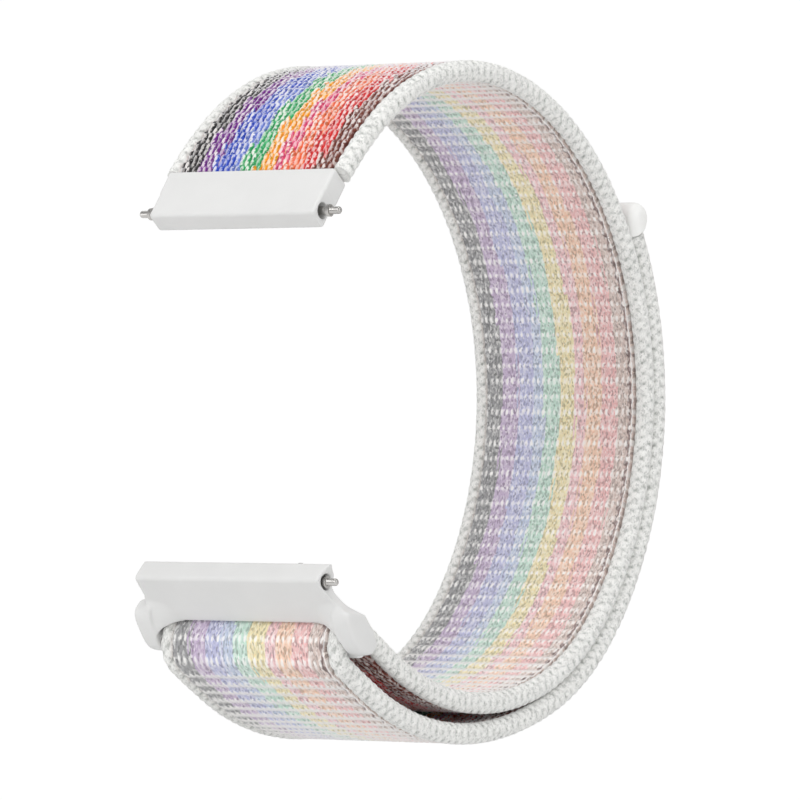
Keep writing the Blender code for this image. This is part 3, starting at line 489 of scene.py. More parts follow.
def hook_patch():
    """The flat strip, and on it one bent square stem copied to every point of a grid."""
    strip, strip_faces = flat_strip()
    square = np.array(((1, 1), (-1, 1), (-1, -1), (1, -1))) * 0.7
    rows = np.arange(HOOK_START + HOOK_MARGIN, TIP_END - 0.9, HOOK_PITCH)
    columns = np.arange(HOOK_MARGIN - HOOK_HALF_WIDTH, HOOK_HALF_WIDTH - 0.4, HOOK_PITCH)
    row, column = (grid.ravel()[:, None, None] for grid in np.meshgrid(rows, columns, indexing="ij"))
    facing = np.where(np.round(row / HOOK_PITCH) % 2 == 0, 1, -1)
    side, forward = (STEM_THICKNESS[:, None] * part for part in square.T)
    hook_along = row + facing * (STEM_LINE[:, 0, None] + forward)
    hook_out = np.broadcast_to(STEM_LINE[:, 1, None], hook_along.shape)
    stems = on_strap(hook_along, column + facing * side, hook_out).reshape(-1, 3)
    rings, corners = len(STEM_LINE), len(square)
    one = sleeve_faces(rings, corners, flip=False)
    shift = np.arange(len(row))[:, None, None] * rings * corners + len(strip)
    stem_faces = [(part[None] + shift).reshape(-1, 4) for part in one]
    print(f"hook patch: {len(row)} hooks of {sum(len(part) for part in one)} faces")
    return make_mesh("hook_strip", np.vstack((strip, stems)), [*strip_faces, *stem_faces], smooth=False)


hooks = hook_patch()

# %% [markdown]
# ## Moulded pieces
# The adapter, the bracket and the tab are moulded nylon. Their solids have sharp or chamfered
# edges, and a real moulding has small soft radii everywhere. Bevels would trip over the bores
# and slots, so a merged copy of each solid is rebuilt on a fine grid and smoothed a little.

# %% Soft-edged mouldings
def merged_copy(name, node):
    """A copy of a CAD solid whose loose triangles are joined at their shared corners."""
    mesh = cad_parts[node].data.copy()
    mesh.materials.clear()
    bm = bmesh.new()
    bm.from_mesh(mesh)
    bmesh.ops.remove_doubles(bm, verts=bm.verts, dist=0.002 * MM)
    bm.to_mesh(mesh)
    bm.free()
    return add_object(name, mesh)


def soft_moulding(name, node, cell, rounds):
    """A merged copy of a CAD solid, rebuilt on a grid of cells and smoothed for some rounds."""
    obj = merged_copy(name, node)
    remesh = obj.modifiers.new("even_cells", "REMESH")
    remesh.mode = "VOXEL"
    remesh.voxel_size = cell * MM
    remesh.use_smooth_shade = True
    smooth = obj.modifiers.new("soft_edges", "SMOOTH")
    smooth.iterations = rounds
    smooth.factor = 0.5
    bpy.context.view_layer.update()
    finished = obj.evaluated_get(bpy.context.evaluated_depsgraph_get())
    solid = bpy.data.meshes.new_from_object(finished)
    obj.modifiers.clear()
    obj.data = solid
    solid.name = name
    solid.shade_smooth()
    print(f"{name}: {len(solid.polygons)} faces")
    return obj


mouldings = {
    "top_adapter": soft_moulding("top_adapter_shell", "top_adapter", 0.1, 10),
    "bracket_frame": soft_moulding("bottom_bracket_shell", "bracket_frame", 0.1, 18),
    "end_tab": soft_moulding("end_tab_shell", "end_tab", 0.09, 20),
}

# %% [markdown]
# ## Spring bars
# The pins and levers are turned from steel wire. A turned piece is a profile of radius and place
# carried round an axis, with its two ends closed in a point, so every shoulder and rounded tip is
# a line in a short table. The springs keep the model's coils, as copies.

# %% Turned pins and levers
TOP_BAR = np.array((0.3494, 17.5078))
BOTTOM_BAR = -TOP_BAR
SHOULDER_BACK, SHOULDER_FACE, PIN_END = 10.2, 10.55, 11.65
SPRING_START, SPRING_END, RELEASE_TRAVEL = -1.5, 3.9, 1.3
FIXED_SHANK_END, SLIDING_SHANK_END = 1.6, 4.0
LEVER_AT = 6.6
TURNED_SIDES = 40


def turned(name, profile, middle, axis, side):
    """middle + place x axis + radius x (cosine x side + sine x third), for each profile row."""
    place, radius = np.array(profile).T
    count = TURNED_SIDES
    angle = 2 * np.pi * np.arange(count) / count
    third = np.cross(axis, side)
    spokes = np.cos(angle)[:, None] * side + np.sin(angle)[:, None] * third
    rings = middle + place[1:-1, None, None] * axis + radius[1:-1, None, None] * spokes
    tips = middle + place[[0, -1], None] * axis
    points = np.vstack((rings.reshape(-1, 3), tips))
    rows = len(place) - 2
    quads = sleeve_faces(rows, count, flip=False)[0]
    column = np.arange(count)
    after = (column + 1) % count
    start, end, ring = rows * count, rows * count + 1, (rows - 1) * count
    first = np.stack((np.full(count, start), after, column), axis=-1)
    last = np.stack((np.full(count, end), column + ring, after + ring), axis=-1)
    obj = make_mesh(name, points, [quads, first, last])
    obj.data.set_sharp_from_angle(angle=math.radians(40))
    return obj


def pin_profile(shank_end):
    """Shank, shoulder and tip with a rounded end; the small steps are the turned radii."""
    return (
        (shank_end, 0), (shank_end, 0.36), (shank_end + 0.04, 0.4), (SHOULDER_BACK, 0.4),
        (SHOULDER_BACK, 0.55), (SHOULDER_BACK + 0.05, 0.6), (SHOULDER_FACE - 0.05, 0.6),
        (SHOULDER_FACE, 0.55), (SHOULDER_FACE, 0.38), (SHOULDER_FACE + 0.04, 0.36),
        (PIN_END - 0.2, 0.36), (PIN_END - 0.1, 0.33), (PIN_END - 0.03, 0.26),
        (PIN_END, 0.14), (PIN_END, 0),
    )


def lever_profile(wall):
    """A stem and a small head with rounded rims, measured from the bar's axis."""
    low = wall + 0.15
    return (
        (0.45, 0), (0.45, 0.3), (low, 0.3), (low, 0.47), (low + 0.04, 0.53), (low + 0.1, 0.55),
        (low + 0.4, 0.55), (low + 0.46, 0.53), (low + 0.5, 0.47), (low + 0.5, 0.2), (low + 0.48, 0),
    )


X_AXIS = np.array((1.0, 0.0, 0.0))
steel = {}
springs = {}
for word, bar, wall, lean in (
    ("top", TOP_BAR, 1.175, math.radians(50.5)),
    ("bottom", BOTTOM_BAR, 1.4, math.radians(133.0)),
):
    middle = np.array((0.0, *bar))
    inwards = np.array((0.0, math.sin(lean), -math.cos(lean)))
    for part, profile, start, axis, side in (
        ("fixed_pin", pin_profile(FIXED_SHANK_END), middle, -X_AXIS, inwards),
        ("sliding_pin", pin_profile(SLIDING_SHANK_END), middle, X_AXIS, inwards),
        ("lever", lever_profile(wall), middle + LEVER_AT * X_AXIS, inwards, X_AXIS),
    ):
        node = f"{word}_release_lever" if part == "lever" else f"{word}_bar_{part}"
        steel[node] = turned(f"{word}_{part}_turned", profile, start, axis, side)
    springs[word] = merged_copy(f"{word}_spring_coil", f"{word}_bar_spring")
print("steel pieces:", sorted(steel), "and", len(springs), "springs")

# %% [markdown]
# ## Writing shaders in a few lines
# Each finish could be wired by hand in the shader editor. A small class that adds nodes and links
# them keeps every finish a few lines long, and lets the shaders use the same numbers as the
# geometry. Numbers that repeat in several finishes go into node groups with named sockets.

# %% Node helpers
def paint(red, green, blue):
    """A colour as seen on screen, 0 to 255, turned into the linear values that shaders use."""
    screen = np.array((red, green, blue)) / 255
    linear = np.where(screen <= 0.04045, screen / 12.92, ((screen + 0.055) / 1.055) ** 2.4)
    return (*linear.tolist(), 1.0)


class Sheet:
    """A node tree with short ways to add the nodes that these finishes need."""

    def __init__(self, tree):
        self.tree = tree

    def add(self, kind, inputs=(), **settings):
        node = self.tree.nodes.new(kind)
        for key, value in settings.items():
            setattr(node, key, value)
        for key, value in dict(inputs).items():
            self.feed(node.inputs[key], value)
        return node

    def feed(self, socket, value):
        if isinstance(value, bpy.types.NodeSocket):
            self.tree.links.new(value, socket)
        else:
            socket.default_value = value

    def math(self, operation, *values, clamp=False):
        node = self.add("ShaderNodeMath", operation=operation, use_clamp=clamp)
        for socket, value in zip(node.inputs, values):
            self.feed(socket, value)
        return node.outputs[0]

    def plus(self, first, second):
        return self.math("ADD", first, second)

    def minus(self, first, second):
        return self.math("SUBTRACT", first, second)

    def times(self, first, second):
        return self.math("MULTIPLY", first, second)

    def scaled(self, value, factor, offset):
        return self.math("MULTIPLY_ADD", value, factor, offset)

    def between(self, value, low, high):
        """A smooth step from 0 at low to 1 at high."""
        inputs = {"Value": value, "From Min": low, "From Max": high}
        return self.add("ShaderNodeMapRange", inputs, interpolation_type="SMOOTHSTEP").outputs["Result"]

    def mix(self, factor, first, second, blend="MIX"):
        node = self.add("ShaderNodeMix", data_type="RGBA", blend_type=blend, clamp_result=True)
        for key, value in ((0, factor), (6, first), (7, second)):
            self.feed(node.inputs[key], value)
        return node.outputs[2]

    def placed(self, group, **inputs):
        """The outputs of a node group that is fed with the given inputs."""
        node = self.add("ShaderNodeGroup", node_tree=group)
        for key, value in inputs.items():
            self.feed(node.inputs[key], value)
        return node.outputs

    def bump(self, shader, height, distance, strength):
        """Let a height tilt the shader's normal."""
        inputs = {"Strength": strength, "Distance": distance, "Height": height}
        self.feed(shader.inputs["Normal"], self.add("ShaderNodeBump", inputs).outputs["Normal"])


def new_material(name, **settings):
    """A new material with its sheet and its Principled shader, and these settings on the shader."""
    material = bpy.data.materials.new(name)
    material.use_nodes = True
    shader = material.node_tree.nodes["Principled BSDF"]
    for key, value in settings.items():
        shader.inputs[key.replace("_", " ")].default_value = value
    return material, Sheet(material.node_tree), shader


def new_group(name, inputs, outputs):
    """An empty node group, as its tree, its sheet, its given values and its result sockets."""
    tree = bpy.data.node_groups.new(name, "ShaderNodeTree")
    for direction, sockets in (("INPUT", inputs), ("OUTPUT", outputs)):
        for label, kind in sockets.items():
            tree.interface.new_socket(label, in_out=direction, socket_type=f"NodeSocket{kind}")
    given, result = tree.nodes.new("NodeGroupInput"), tree.nodes.new("NodeGroupOutput")
    return tree, Sheet(tree), given.outputs, result.inputs


finishes = {}
print("white in linear values:", paint(255, 255, 255))

# %% [markdown]
# ## Stripes
# The warp yarns change colour across the strap: black, purple, two blues, green, yellow, pink,
# orange, red and brown. A painted picture would blur up close. Here each column of stitches reads
# one colour from a ramp of flat steps, and chance lets a few stitches take a neighbour's colour,
# as a loom does where two yarns meet.

# %% Stripe colours
STRIPES = (
    # place across, pile colour, lining colour
    (0.000, (58, 55, 57), (170, 170, 171)),
    (0.121, (134, 44, 158), (210, 194, 218)),
    (0.214, (62, 96, 206), (205, 206, 234)),
    (0.304, (128, 150, 222), (210, 220, 238)),
    (0.405, (58, 186, 118), (212, 236, 224)),
    (0.500, (250, 178, 30), (250, 240, 198)),
    (0.595, (232, 92, 138), (252, 216, 216)),
    (0.690, (244, 128, 80), (254, 220, 196)),
    (0.785, (226, 52, 54), (248, 206, 204)),
    (0.900, (138, 72, 58), (228, 210, 202)),
)
STRAY_COLUMNS = 1.7


def flat_ramp(sheet, factor, stops):
    """A colour ramp of flat steps. All places are set first, because they put the stops in order."""
    node = sheet.add("ShaderNodeValToRGB", {"Fac": factor})
    node.color_ramp.interpolation = "CONSTANT"
    elements = node.color_ramp.elements
    while len(elements) < len(stops):
        elements.new(0.5)
    for element, (place, _) in zip(elements, stops):
        element.position = place
    for element, (_, colour) in zip(elements, stops):
        element.color = colour
    return node.outputs["Color"]


def stripe_group():
    """Both colours at the middle of the column: floor(column + stray x (lot - 0.5)) + 0.5."""
    tree, sheet, given, result = new_group(
        "yarn_stripes", {"Across": "Float", "Lot": "Float"}, {"Pile": "Color", "Lining": "Color"})
    column = sheet.times(given["Across"], float(COLUMNS))
    moved = sheet.scaled(sheet.minus(given["Lot"], 0.5), STRAY_COLUMNS, column)
    middle = sheet.plus(sheet.math("FLOOR", moved), 0.5)
    middle = sheet.math("DIVIDE", middle, float(COLUMNS), clamp=True)
    for number, label in ((1, "Pile"), (2, "Lining")):
        stops = [(row[0], paint(*row[number])) for row in STRIPES]
        sheet.feed(result[label], flat_ramp(sheet, middle, stops))
    return tree


yarn_stripes = stripe_group()
print(len(STRIPES), "stripes in the group", yarn_stripes.name)

# %% [markdown]
# ## Stitches and fibres for the shaders
# The mesh already has a bulge for every stitch, but the shader has to know where it is too, to
# whiten a crest, a painted highlight on the pile, and to paint shade between stitches. It could read
# an attribute from the mesh. The same formula in nodes stays sharp between the mesh's points, and
# it also gives one chance number per stitch.
# Fine fibres and short strands with tones of their own come from noise stretched along the yarn.

# %% Stitch and fibre groups
def stitch_group():
    """The stitch formula for one set, with a chance number that is the same all over a stitch."""
    names = ("Column", "Row", "Lean", "Width", "Length")
    tree, sheet, given, result = new_group(
        "stitch_set", dict.fromkeys(names, "Float"), {"Crest": "Float", "Lot": "Float"})
    column, row, lean, width, length = (given[name] for name in names)
    phase = sheet.minus(sheet.math("FRACT", row), 0.5)
    leaned = sheet.scaled(lean, phase, column)
    spread = sheet.scaled(sheet.math("FLOOR", leaned), CHANCE_BY_COLUMN,
                          sheet.times(sheet.math("FLOOR", row), CHANCE_BY_ROW))
    lot = sheet.math("FRACT", sheet.times(sheet.math("FRACT", spread), CHANCE_SPREAD))
    middle = sheet.scaled(lot, -STITCH_SHIFT, 0.5 + STITCH_SHIFT / 2)
    side = sheet.math("DIVIDE", sheet.minus(sheet.math("FRACT", leaned), middle), width)
    end = sheet.math("DIVIDE", phase, length)
    spent = sheet.plus(sheet.math("POWER", side, 2.0), sheet.math("POWER", end, 2.0))
    left = sheet.math("MULTIPLY_ADD", spent, -4.0, 1.0, clamp=True)
    sheet.feed(result["Crest"], sheet.math("SQRT", left))
    sheet.feed(result["Lot"], lot)
    return tree


def fibre_group():
    """Fine fibres, slow clouds, and short strands with a chance tone each, along the yarn."""
    tree, sheet, given, result = new_group(
        "fine_fibres", {"Across": "Float", "Along": "Float", "Stretch": "Float"},
        {"Fibre": "Float", "Cloud": "Float", "Strand": "Float"})
    squeezed = sheet.math("DIVIDE", given["Along"], given["Stretch"])
    place = sheet.add("ShaderNodeCombineXYZ", {"X": given["Across"], "Y": squeezed}).outputs[0]
    fine = sheet.add("ShaderNodeTexNoise", {"Vector": place, "Scale": 9.0, "Detail": 3.0})
    cells = sheet.add("ShaderNodeTexVoronoi", {"Vector": place, "Scale": 7.0}, voronoi_dimensions="2D")
    tones = sheet.add("ShaderNodeSeparateColor", {"Color": cells.outputs["Color"]})
    wide = sheet.add("ShaderNodeCombineXYZ", {"X": given["Across"], "Y": given["Along"]}).outputs[0]
    cloud = sheet.add("ShaderNodeTexNoise", {"Vector": wide, "Scale": 0.35, "Detail": 2.0})
    sheet.feed(result["Strand"], tones.outputs["Red"])
    sheet.feed(result["Fibre"], sheet.between(fine.outputs["Fac"], 0.34, 0.66))
    sheet.feed(result["Cloud"], cloud.outputs["Fac"])
    return tree


stitch_set = stitch_group()
fine_fibres = fibre_group()
print("groups:", stitch_set.name, fine_fibres.name)

# %% [markdown]
# ## Yarn in general
# Pile, lining, cords and loose fibres are one kind of nylon yarn, so they share these helpers. A
# sheen gives brushed yarn its pale look seen edge on, and a painted sheen, a pale colour that grows
# the same way, covers the dye there. Layer Weight does this for any viewer, so it also holds from
# the back.

# %% Yarn helpers
WEB_WIDTH = 2 * WEB_HALF_WIDTH


def yarn_material(name, roughness, sheen, width):
    """A yarn's material, sheet, shader, share across, and places across and along in millimetres."""
    material, sheet, shader = new_material(
        name, Roughness=roughness, Sheen_Weight=sheen, Sheen_Roughness=0.4, Specular_IOR_Level=0.25)
    uv = sheet.add("ShaderNodeUVMap", uv_map="weave")
    share, along, _ = sheet.add("ShaderNodeSeparateXYZ", {"Vector": uv.outputs[0]}).outputs
    return material, sheet, shader, share, sheet.times(share, width), sheet.times(along, UV_LENGTH)


def stitch_nodes(sheet, share, along, pitch, pattern):
    """The higher crest of a pattern's two sets, read on the UV map, and its chance number."""
    column = sheet.times(share, float(COLUMNS))
    row = sheet.math("DIVIDE", along, pitch)
    first, second = (
        sheet.placed(stitch_set, Column=sheet.plus(column, shift_across),
                     Row=sheet.plus(row, 0.5 - shift_along), Lean=lean, Width=width, Length=length)
        for shift_along, shift_across, lean, width, length in pattern)
    later = sheet.math("GREATER_THAN", second["Crest"], first["Crest"])
    lot = sheet.scaled(later, sheet.minus(second["Lot"], first["Lot"]), first["Lot"])
    return sheet.math("MAXIMUM", first["Crest"], second["Crest"]), lot


def painted_edge_sheen(sheet, start, most):
    """How much painted sheen, a pale colour, covers the dye: none face on, the most where the cloth is
    seen edge on.
    """
    facing = sheet.add("ShaderNodeLayerWeight", {"Blend": 0.5}).outputs["Facing"]
    return sheet.times(sheet.between(facing, start, start + 0.28), most)


def speckled(sheet, colour, strand, darkest, palest):
    """Yarn tones: low strands are darkened down to one share, high ones whitened up to another."""
    dark = sheet.scaled(sheet.between(strand, 0.0, 0.45), 1 - darkest, darkest)
    pale = sheet.times(sheet.between(strand, 0.55, 1.0), palest)
    return sheet.mix(pale, sheet.mix(1.0, colour, dark, "MULTIPLY"), paint(255, 254, 252))


def yarn_bump(sheet, shader, crest, fibre, distance):
    """Stitches and fine fibres as one height: crest + 0.3 x fibre."""
    sheet.bump(shader, sheet.scaled(fibre, 0.3, crest), distance, 0.7)


print(f"the stitched web is {WEB_WIDTH:.2f} mm wide")

# %% [markdown]
# ## Loop pile
# The outside of the strap is deep in colour, because its loops stand close and shade each other.
# That shade is painted between the loops, and a painted highlight pales their crests. One flat colour
# with noise over it would look like felt, so the crest and the chance number of each loop decide how
# pale it is.

# %% Pile yarn
def pile_yarn():
    """Painted shade between the loops, a painted highlight on the crests, and a chance change from loop
    to loop.
    """
    material, sheet, shader, share, across, along = yarn_material(
        "loop_pile_yarn", 0.75, 0.35, WEB_WIDTH)
    crest, lot = stitch_nodes(sheet, share, along, LOOP_PITCH, PILE_STITCHES)
    fibres = sheet.placed(fine_fibres, Across=across, Along=along, Stretch=2.4)
    dyed = sheet.placed(yarn_stripes, Across=share, Lot=lot)["Pile"]
    # Painted shade: the dye is darkened and deepened between the loops, where the crest is low.
    gap_shaded_dye = sheet.mix(0.6, dyed, dyed, "MULTIPLY")
    colour = sheet.mix(sheet.between(crest, 0.0, 0.5), gap_shaded_dye, dyed)
    # Painted highlight: high crests are mixed towards white, more on some loops by chance.
    painted_crest_highlight = sheet.between(sheet.scaled(fibres["Strand"], 0.5, crest), 0.8, 1.15)
    pale = sheet.times(painted_crest_highlight, sheet.scaled(lot, 0.5, 0.32))
    colour = sheet.mix(pale, colour, paint(255, 250, 246))
    colour = speckled(sheet, colour, fibres["Strand"], 0.62, 0.12)
    # Painted sheen: the pile is paled towards white where it is seen edge on.
    colour = sheet.mix(painted_edge_sheen(sheet, 0.56, 0.9), colour, paint(248, 247, 249))
    sheet.feed(shader.inputs["Base Color"], colour)
    yarn_bump(sheet, shader, crest, fibres["Fibre"], 0.09 * MM)
    return material


finishes["pile"] = pile_yarn()
print("pile yarn:", len(finishes["pile"].node_tree.nodes), "nodes")

# %% [markdown]
# ## Ribbed lining
# On the wrist side a white yarn crosses the dyed one. The stitches are nearly white, the gaps keep
# the colour, and the whole face looks pastel. A sewn line runs beside the right cord. It could be
# modelled as thread, but it lies flush in the fabric, so it is drawn from two sine waves.

# %% Lining yarn
def line_at(sheet, inwards, wave, place, sway):
    """The distance from a line that lies at a place from the edge and sways with a wave."""
    return sheet.math("ABSOLUTE", sheet.scaled(wave, sway, sheet.minus(inwards, place)))


def with_seam(sheet, colour, share, along):
    """A sewn line beside the right cord: brown blobs in pairs, and a white thread that wavers."""
    inwards = sheet.times(sheet.minus(1.0, share), WEB_WIDTH)
    wave = sheet.math("SINE", sheet.times(along, 4 * math.pi / RIB_PITCH))
    slow = sheet.math("SINE", sheet.times(along, 2 * math.pi / RIB_PITCH))
    reach = sheet.scaled(sheet.math("POWER", sheet.math("ABSOLUTE", slow), 6.0), 0.2, 0.1)
    off = sheet.minus(line_at(sheet, inwards, wave, 0.42, -0.07), reach)
    blob = sheet.minus(1.0, sheet.between(off, -0.06, 0.06))
    colour = sheet.mix(sheet.times(blob, 0.75), colour, paint(118, 96, 96))
    thread = sheet.minus(1.0, sheet.between(line_at(sheet, inwards, wave, 0.16, 0.08), 0.04, 0.1))
    return sheet.mix(thread, colour, paint(244, 240, 238))


def lining_yarn():
    """Pale stitches over pastel yarn, with painted shade between the columns, and speckled threads."""
    material, sheet, shader, share, across, along = yarn_material(
        "ribbed_lining_yarn", 0.8, 0.35, WEB_WIDTH)
    crest, lot = stitch_nodes(sheet, share, along, RIB_PITCH, LINING_STITCHES)
    fibres = sheet.placed(fine_fibres, Across=across, Along=along, Stretch=1.9)
    stripes = sheet.placed(yarn_stripes, Across=share, Lot=sheet.scaled(lot, 0.5, 0.25))
    dyed = sheet.times(sheet.between(fibres["Fibre"], 0.7, 1.0), 0.3)
    colour = sheet.mix(dyed, stripes["Lining"], stripes["Pile"])
    # Painted shade: the colour is darkened where the crest is low, between the stitches.
    gap_shade = sheet.times(sheet.minus(1.0, sheet.between(crest, 0.0, 0.5)), 0.2)
    colour = sheet.mix(gap_shade, colour, sheet.mix(0.7, colour, paint(120, 112, 120), "MULTIPLY"))
    colour = speckled(sheet, with_seam(sheet, colour, share, along), fibres["Strand"], 0.6, 0.4)
    tip = sheet.between(sheet.scaled(fibres["Strand"], 0.2, crest), 0.78, 1.08)
    white = sheet.times(tip, sheet.scaled(lot, 0.4, 0.5))
    colour = sheet.mix(white, colour, paint(255, 253, 251))
    # Painted sheen: the lining is paled towards white where it is seen edge on.
    colour = sheet.mix(painted_edge_sheen(sheet, 0.5, 0.8), colour, paint(250, 248, 246))
    sheet.feed(shader.inputs["Base Color"], colour)
    yarn_bump(sheet, shader, crest, fibres["Fibre"], 0.07 * MM)
    return material


finishes["ribbed"] = lining_yarn()
print("lining yarn:", len(finishes["ribbed"].node_tree.nodes), "nodes")

# %% [markdown]
# ## Cord and loose fibres
# The cords are undyed: white puffs, with painted shade that greys the creases, which the crest
# attribute finds. The loose fibres carry a pale tint of the stripe they grow from. They could all be
# white, but then the stripes would look dusty.

# %% Cord and fibre yarn
CORD_GIRTH = 5.8


def cord_yarn():
    """Undyed yarn: white puffs with painted shade in the grey creases, slow clouds, and fine fibres
    over them.
    """
    material, sheet, shader, _, across, along = yarn_material("white_cord_yarn", 0.85, 0.5, CORD_GIRTH)
    fibres = sheet.placed(fine_fibres, Across=across, Along=along, Stretch=1.4)
    crest = sheet.add("ShaderNodeAttribute", attribute_name="crest").outputs["Fac"]
    # Painted shade: low crests, the creases between the puffs, are mixed towards grey.
    colour = sheet.mix(sheet.between(crest, 0.4, 0.98), paint(184, 187, 183), paint(246, 246, 243))
    grain = sheet.scaled(fibres["Cloud"], 0.16, sheet.scaled(fibres["Fibre"], 0.14, 0.8))
    colour = sheet.mix(1.0, colour, grain, "MULTIPLY")
    sheet.feed(shader.inputs["Base Color"], speckled(sheet, colour, fibres["Strand"], 0.76, 0.3))
    yarn_bump(sheet, shader, crest, fibres["Fibre"], 0.1 * MM)
    return material


def fibre_yarn():
    """Loose fibres: a pale tint of the stripe that each one grows from, white on the cords."""
    material, sheet, shader, share, _, along = yarn_material("loose_fibre_yarn", 0.7, 0.5, WEB_WIDTH)
    noise = sheet.add("ShaderNodeTexWhiteNoise", {"W": along}, noise_dimensions="1D").outputs["Value"]
    dyed = sheet.placed(yarn_stripes, Across=share, Lot=noise)["Pile"]
    on_cord = sheet.math("GREATER_THAN", sheet.math("ABSOLUTE", sheet.minus(share, 0.5)), 0.499)
    pale = sheet.math("MAXIMUM", on_cord, sheet.scaled(noise, 0.3, 0.6))
    sheet.feed(shader.inputs["Base Color"], sheet.mix(pale, dyed, paint(250, 249, 246)))
    return material


finishes["edge_cord"] = cord_yarn()
finishes["fibres"] = fibre_yarn()
print("cord and fibre yarn ready")

# %% [markdown]
# ## Moulded nylon
# The mouldings are pale grey-white nylon with a satin skin: slow clouds of tone, and a fine grain
# in the roughness and the bump. A single flat white would look like paper. Object coordinates suit
# them, because nothing on them follows a weave.

# %% Nylon
def object_place(sheet):
    """The place on the piece, in metres: pieces sit at the origin, so patterns stay on them."""
    return sheet.add("ShaderNodeTexCoord").outputs["Object"]


def grain_group():
    """A fine even grain and slow clouds, both from noise on the given place."""
    tree, sheet, given, result = new_group(
        "moulded_grain", {"Place": "Vector"}, {"Grain": "Float", "Cloud": "Float"})
    for label, scale, detail in (("Grain", 9000.0, 2.0), ("Cloud", 260.0, 3.0)):
        inputs = {"Vector": given["Place"], "Scale": scale, "Detail": detail}
        sheet.feed(result[label], sheet.add("ShaderNodeTexNoise", inputs).outputs["Fac"])
    return tree


moulded_grain = grain_group()


def satin_nylon(name, low, high, roughness):
    """Two close tones mixed by the clouds, with grain in the roughness and the bump."""
    material, sheet, shader = new_material(name, Specular_IOR_Level=0.4)
    grain = sheet.placed(moulded_grain, Place=object_place(sheet))
    sheet.feed(shader.inputs["Base Color"], sheet.mix(grain["Cloud"], paint(*low), paint(*high)))
    sheet.feed(shader.inputs["Roughness"], sheet.scaled(grain["Grain"], 0.12, roughness - 0.06))
    sheet.bump(shader, grain["Grain"], 0.006 * MM, 0.35)
    return material


finishes["moulding"] = satin_nylon("satin_nylon", (217, 217, 216), (226, 226, 225), 0.42)
finishes["tab"] = satin_nylon("tab_nylon", (238, 238, 236), (246, 246, 244), 0.45)
finishes["plug"] = satin_nylon("welded_end", (205, 205, 202), (222, 222, 219), 0.6)
print("nylon finishes ready, the group is", moulded_grain.name)

# %% [markdown]
# ## Steel and hooks
# The pins, levers, tubes and springs are bright drawn steel with fine rings from turning. A plain
# metal with one roughness would do from afar. The rings give the tips their stretched highlights.
# The hooks are stiff white nylon, a little greyer than the mouldings.

# %% Steel and hook nylon
def turned_steel():
    """Bright steel with fine turning rings: a wave across X in the bump and the roughness."""
    material, sheet, shader = new_material("turned_steel", Metallic=1.0)
    place = object_place(sheet)
    rings = sheet.add("ShaderNodeTexWave", {
        "Vector": place, "Scale": 2600.0, "Distortion": 1.5, "Detail": 2.0}).outputs["Fac"]
    cloud = sheet.placed(moulded_grain, Place=place)["Cloud"]
    colour = sheet.mix(cloud, paint(150, 148, 146), paint(206, 204, 201))
    sheet.feed(shader.inputs["Base Color"], colour)
    sheet.feed(shader.inputs["Roughness"], sheet.scaled(rings, 0.14, 0.2))
    sheet.bump(shader, rings, 0.004 * MM, 0.4)
    return material


def hook_nylon():
    """Stiff white nylon, toned by slow clouds, with a fine grain in the bump."""
    material, sheet, shader = new_material("hook_nylon", Roughness=0.45)
    grain = sheet.placed(moulded_grain, Place=object_place(sheet))
    colour = sheet.mix(grain["Cloud"], paint(214, 214, 210), paint(238, 238, 235))
    sheet.feed(shader.inputs["Base Color"], colour)
    sheet.bump(shader, grain["Grain"], 0.01 * MM, 0.4)
    return material


finishes["steel"] = turned_steel()
finishes["hook"] = hook_nylon()
print("finishes:", sorted(finishes))

# %% [markdown]
# ## Fabric on its bodies
# Every new piece stands for one or more CAD nodes and takes a finish. The main run's pieces ride on
# the loop, and the pile and fibres of the tail's tip ride on the tail's base. The tail's pieces could
# ride whole, but then they would tear off at the hinges. The other tail pieces ride on no body: they
# keep their places at rest.

# %% Dress the fabric
# For each kind of piece: its finish, its slot in the record, and the end of its nodes' names
KINDS = {
    "pile": ("pile", "pile", "pile_layer"), "ribbed": ("ribbed", "ribbed", "ribbed_layer"),
    "left": ("edge_cord", "edge_cord", "edge_cord_left"),
    "right": ("edge_cord", "edge_cord", "edge_cord_right"), "fibres": ("fibres", "edge_cord", None),
}


def dress(obj, finish):
    """Give a piece one material."""
    obj.data.materials.clear()
    obj.data.materials.append(finishes[finish])


for key, pieces in fabric.items():
    for kind, obj in pieces.items():
        finish, slot, ending = KINDS[kind]
        dress(obj, finish)
        stays = kind in ("pile", "fibres")
        if key == "main":
            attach(obj, "loop")
        elif key == "tail_root":
            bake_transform(obj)
        elif stays:
            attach(obj, "tail_base")
        else:
            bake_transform(obj)
        if ending:
            tip_body = "tail_base" if stays else "tail_end"
            body = {"main": "main", "tail_root": "tail_base", "tail_tip": tip_body}[key]
            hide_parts(f"{body}_{ending}")

dress(hooks, "hook")
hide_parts("hook_patch")
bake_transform(hooks)
print("fabric pieces dressed:", sum(len(pieces) for pieces in fabric.values()) + 1)

# %% [markdown]
# ## Hard pieces on their bodies
# The mouldings and the turned steel are rigid, so each rides whole. The sliding pins ride with
# their levers. A spring between a fixed and a moving end can't ride rigidly, but here each spring
# rides with its bar, as a copy with a mesh of its own.

# %% Dress the hard pieces
MOULDING_BODIES = {"top_adapter": "loop", "bracket_frame": "bracket", "end_tab": "tail_end"}
BAR_BODIES = {"top": "loop", "bottom": "bracket"}
for node, obj in mouldings.items():
    dress(obj, "tab" if node == "end_tab" else "moulding")
    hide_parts(node)
    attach(obj, MOULDING_BODIES[node])

for node, obj in steel.items():
    dress(obj, "steel")
    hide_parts(node)
    sliding = node.endswith(("sliding_pin", "lever"))
    word = node.split("_")[0]
    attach(obj, f"{word}_release" if sliding else BAR_BODIES[word])

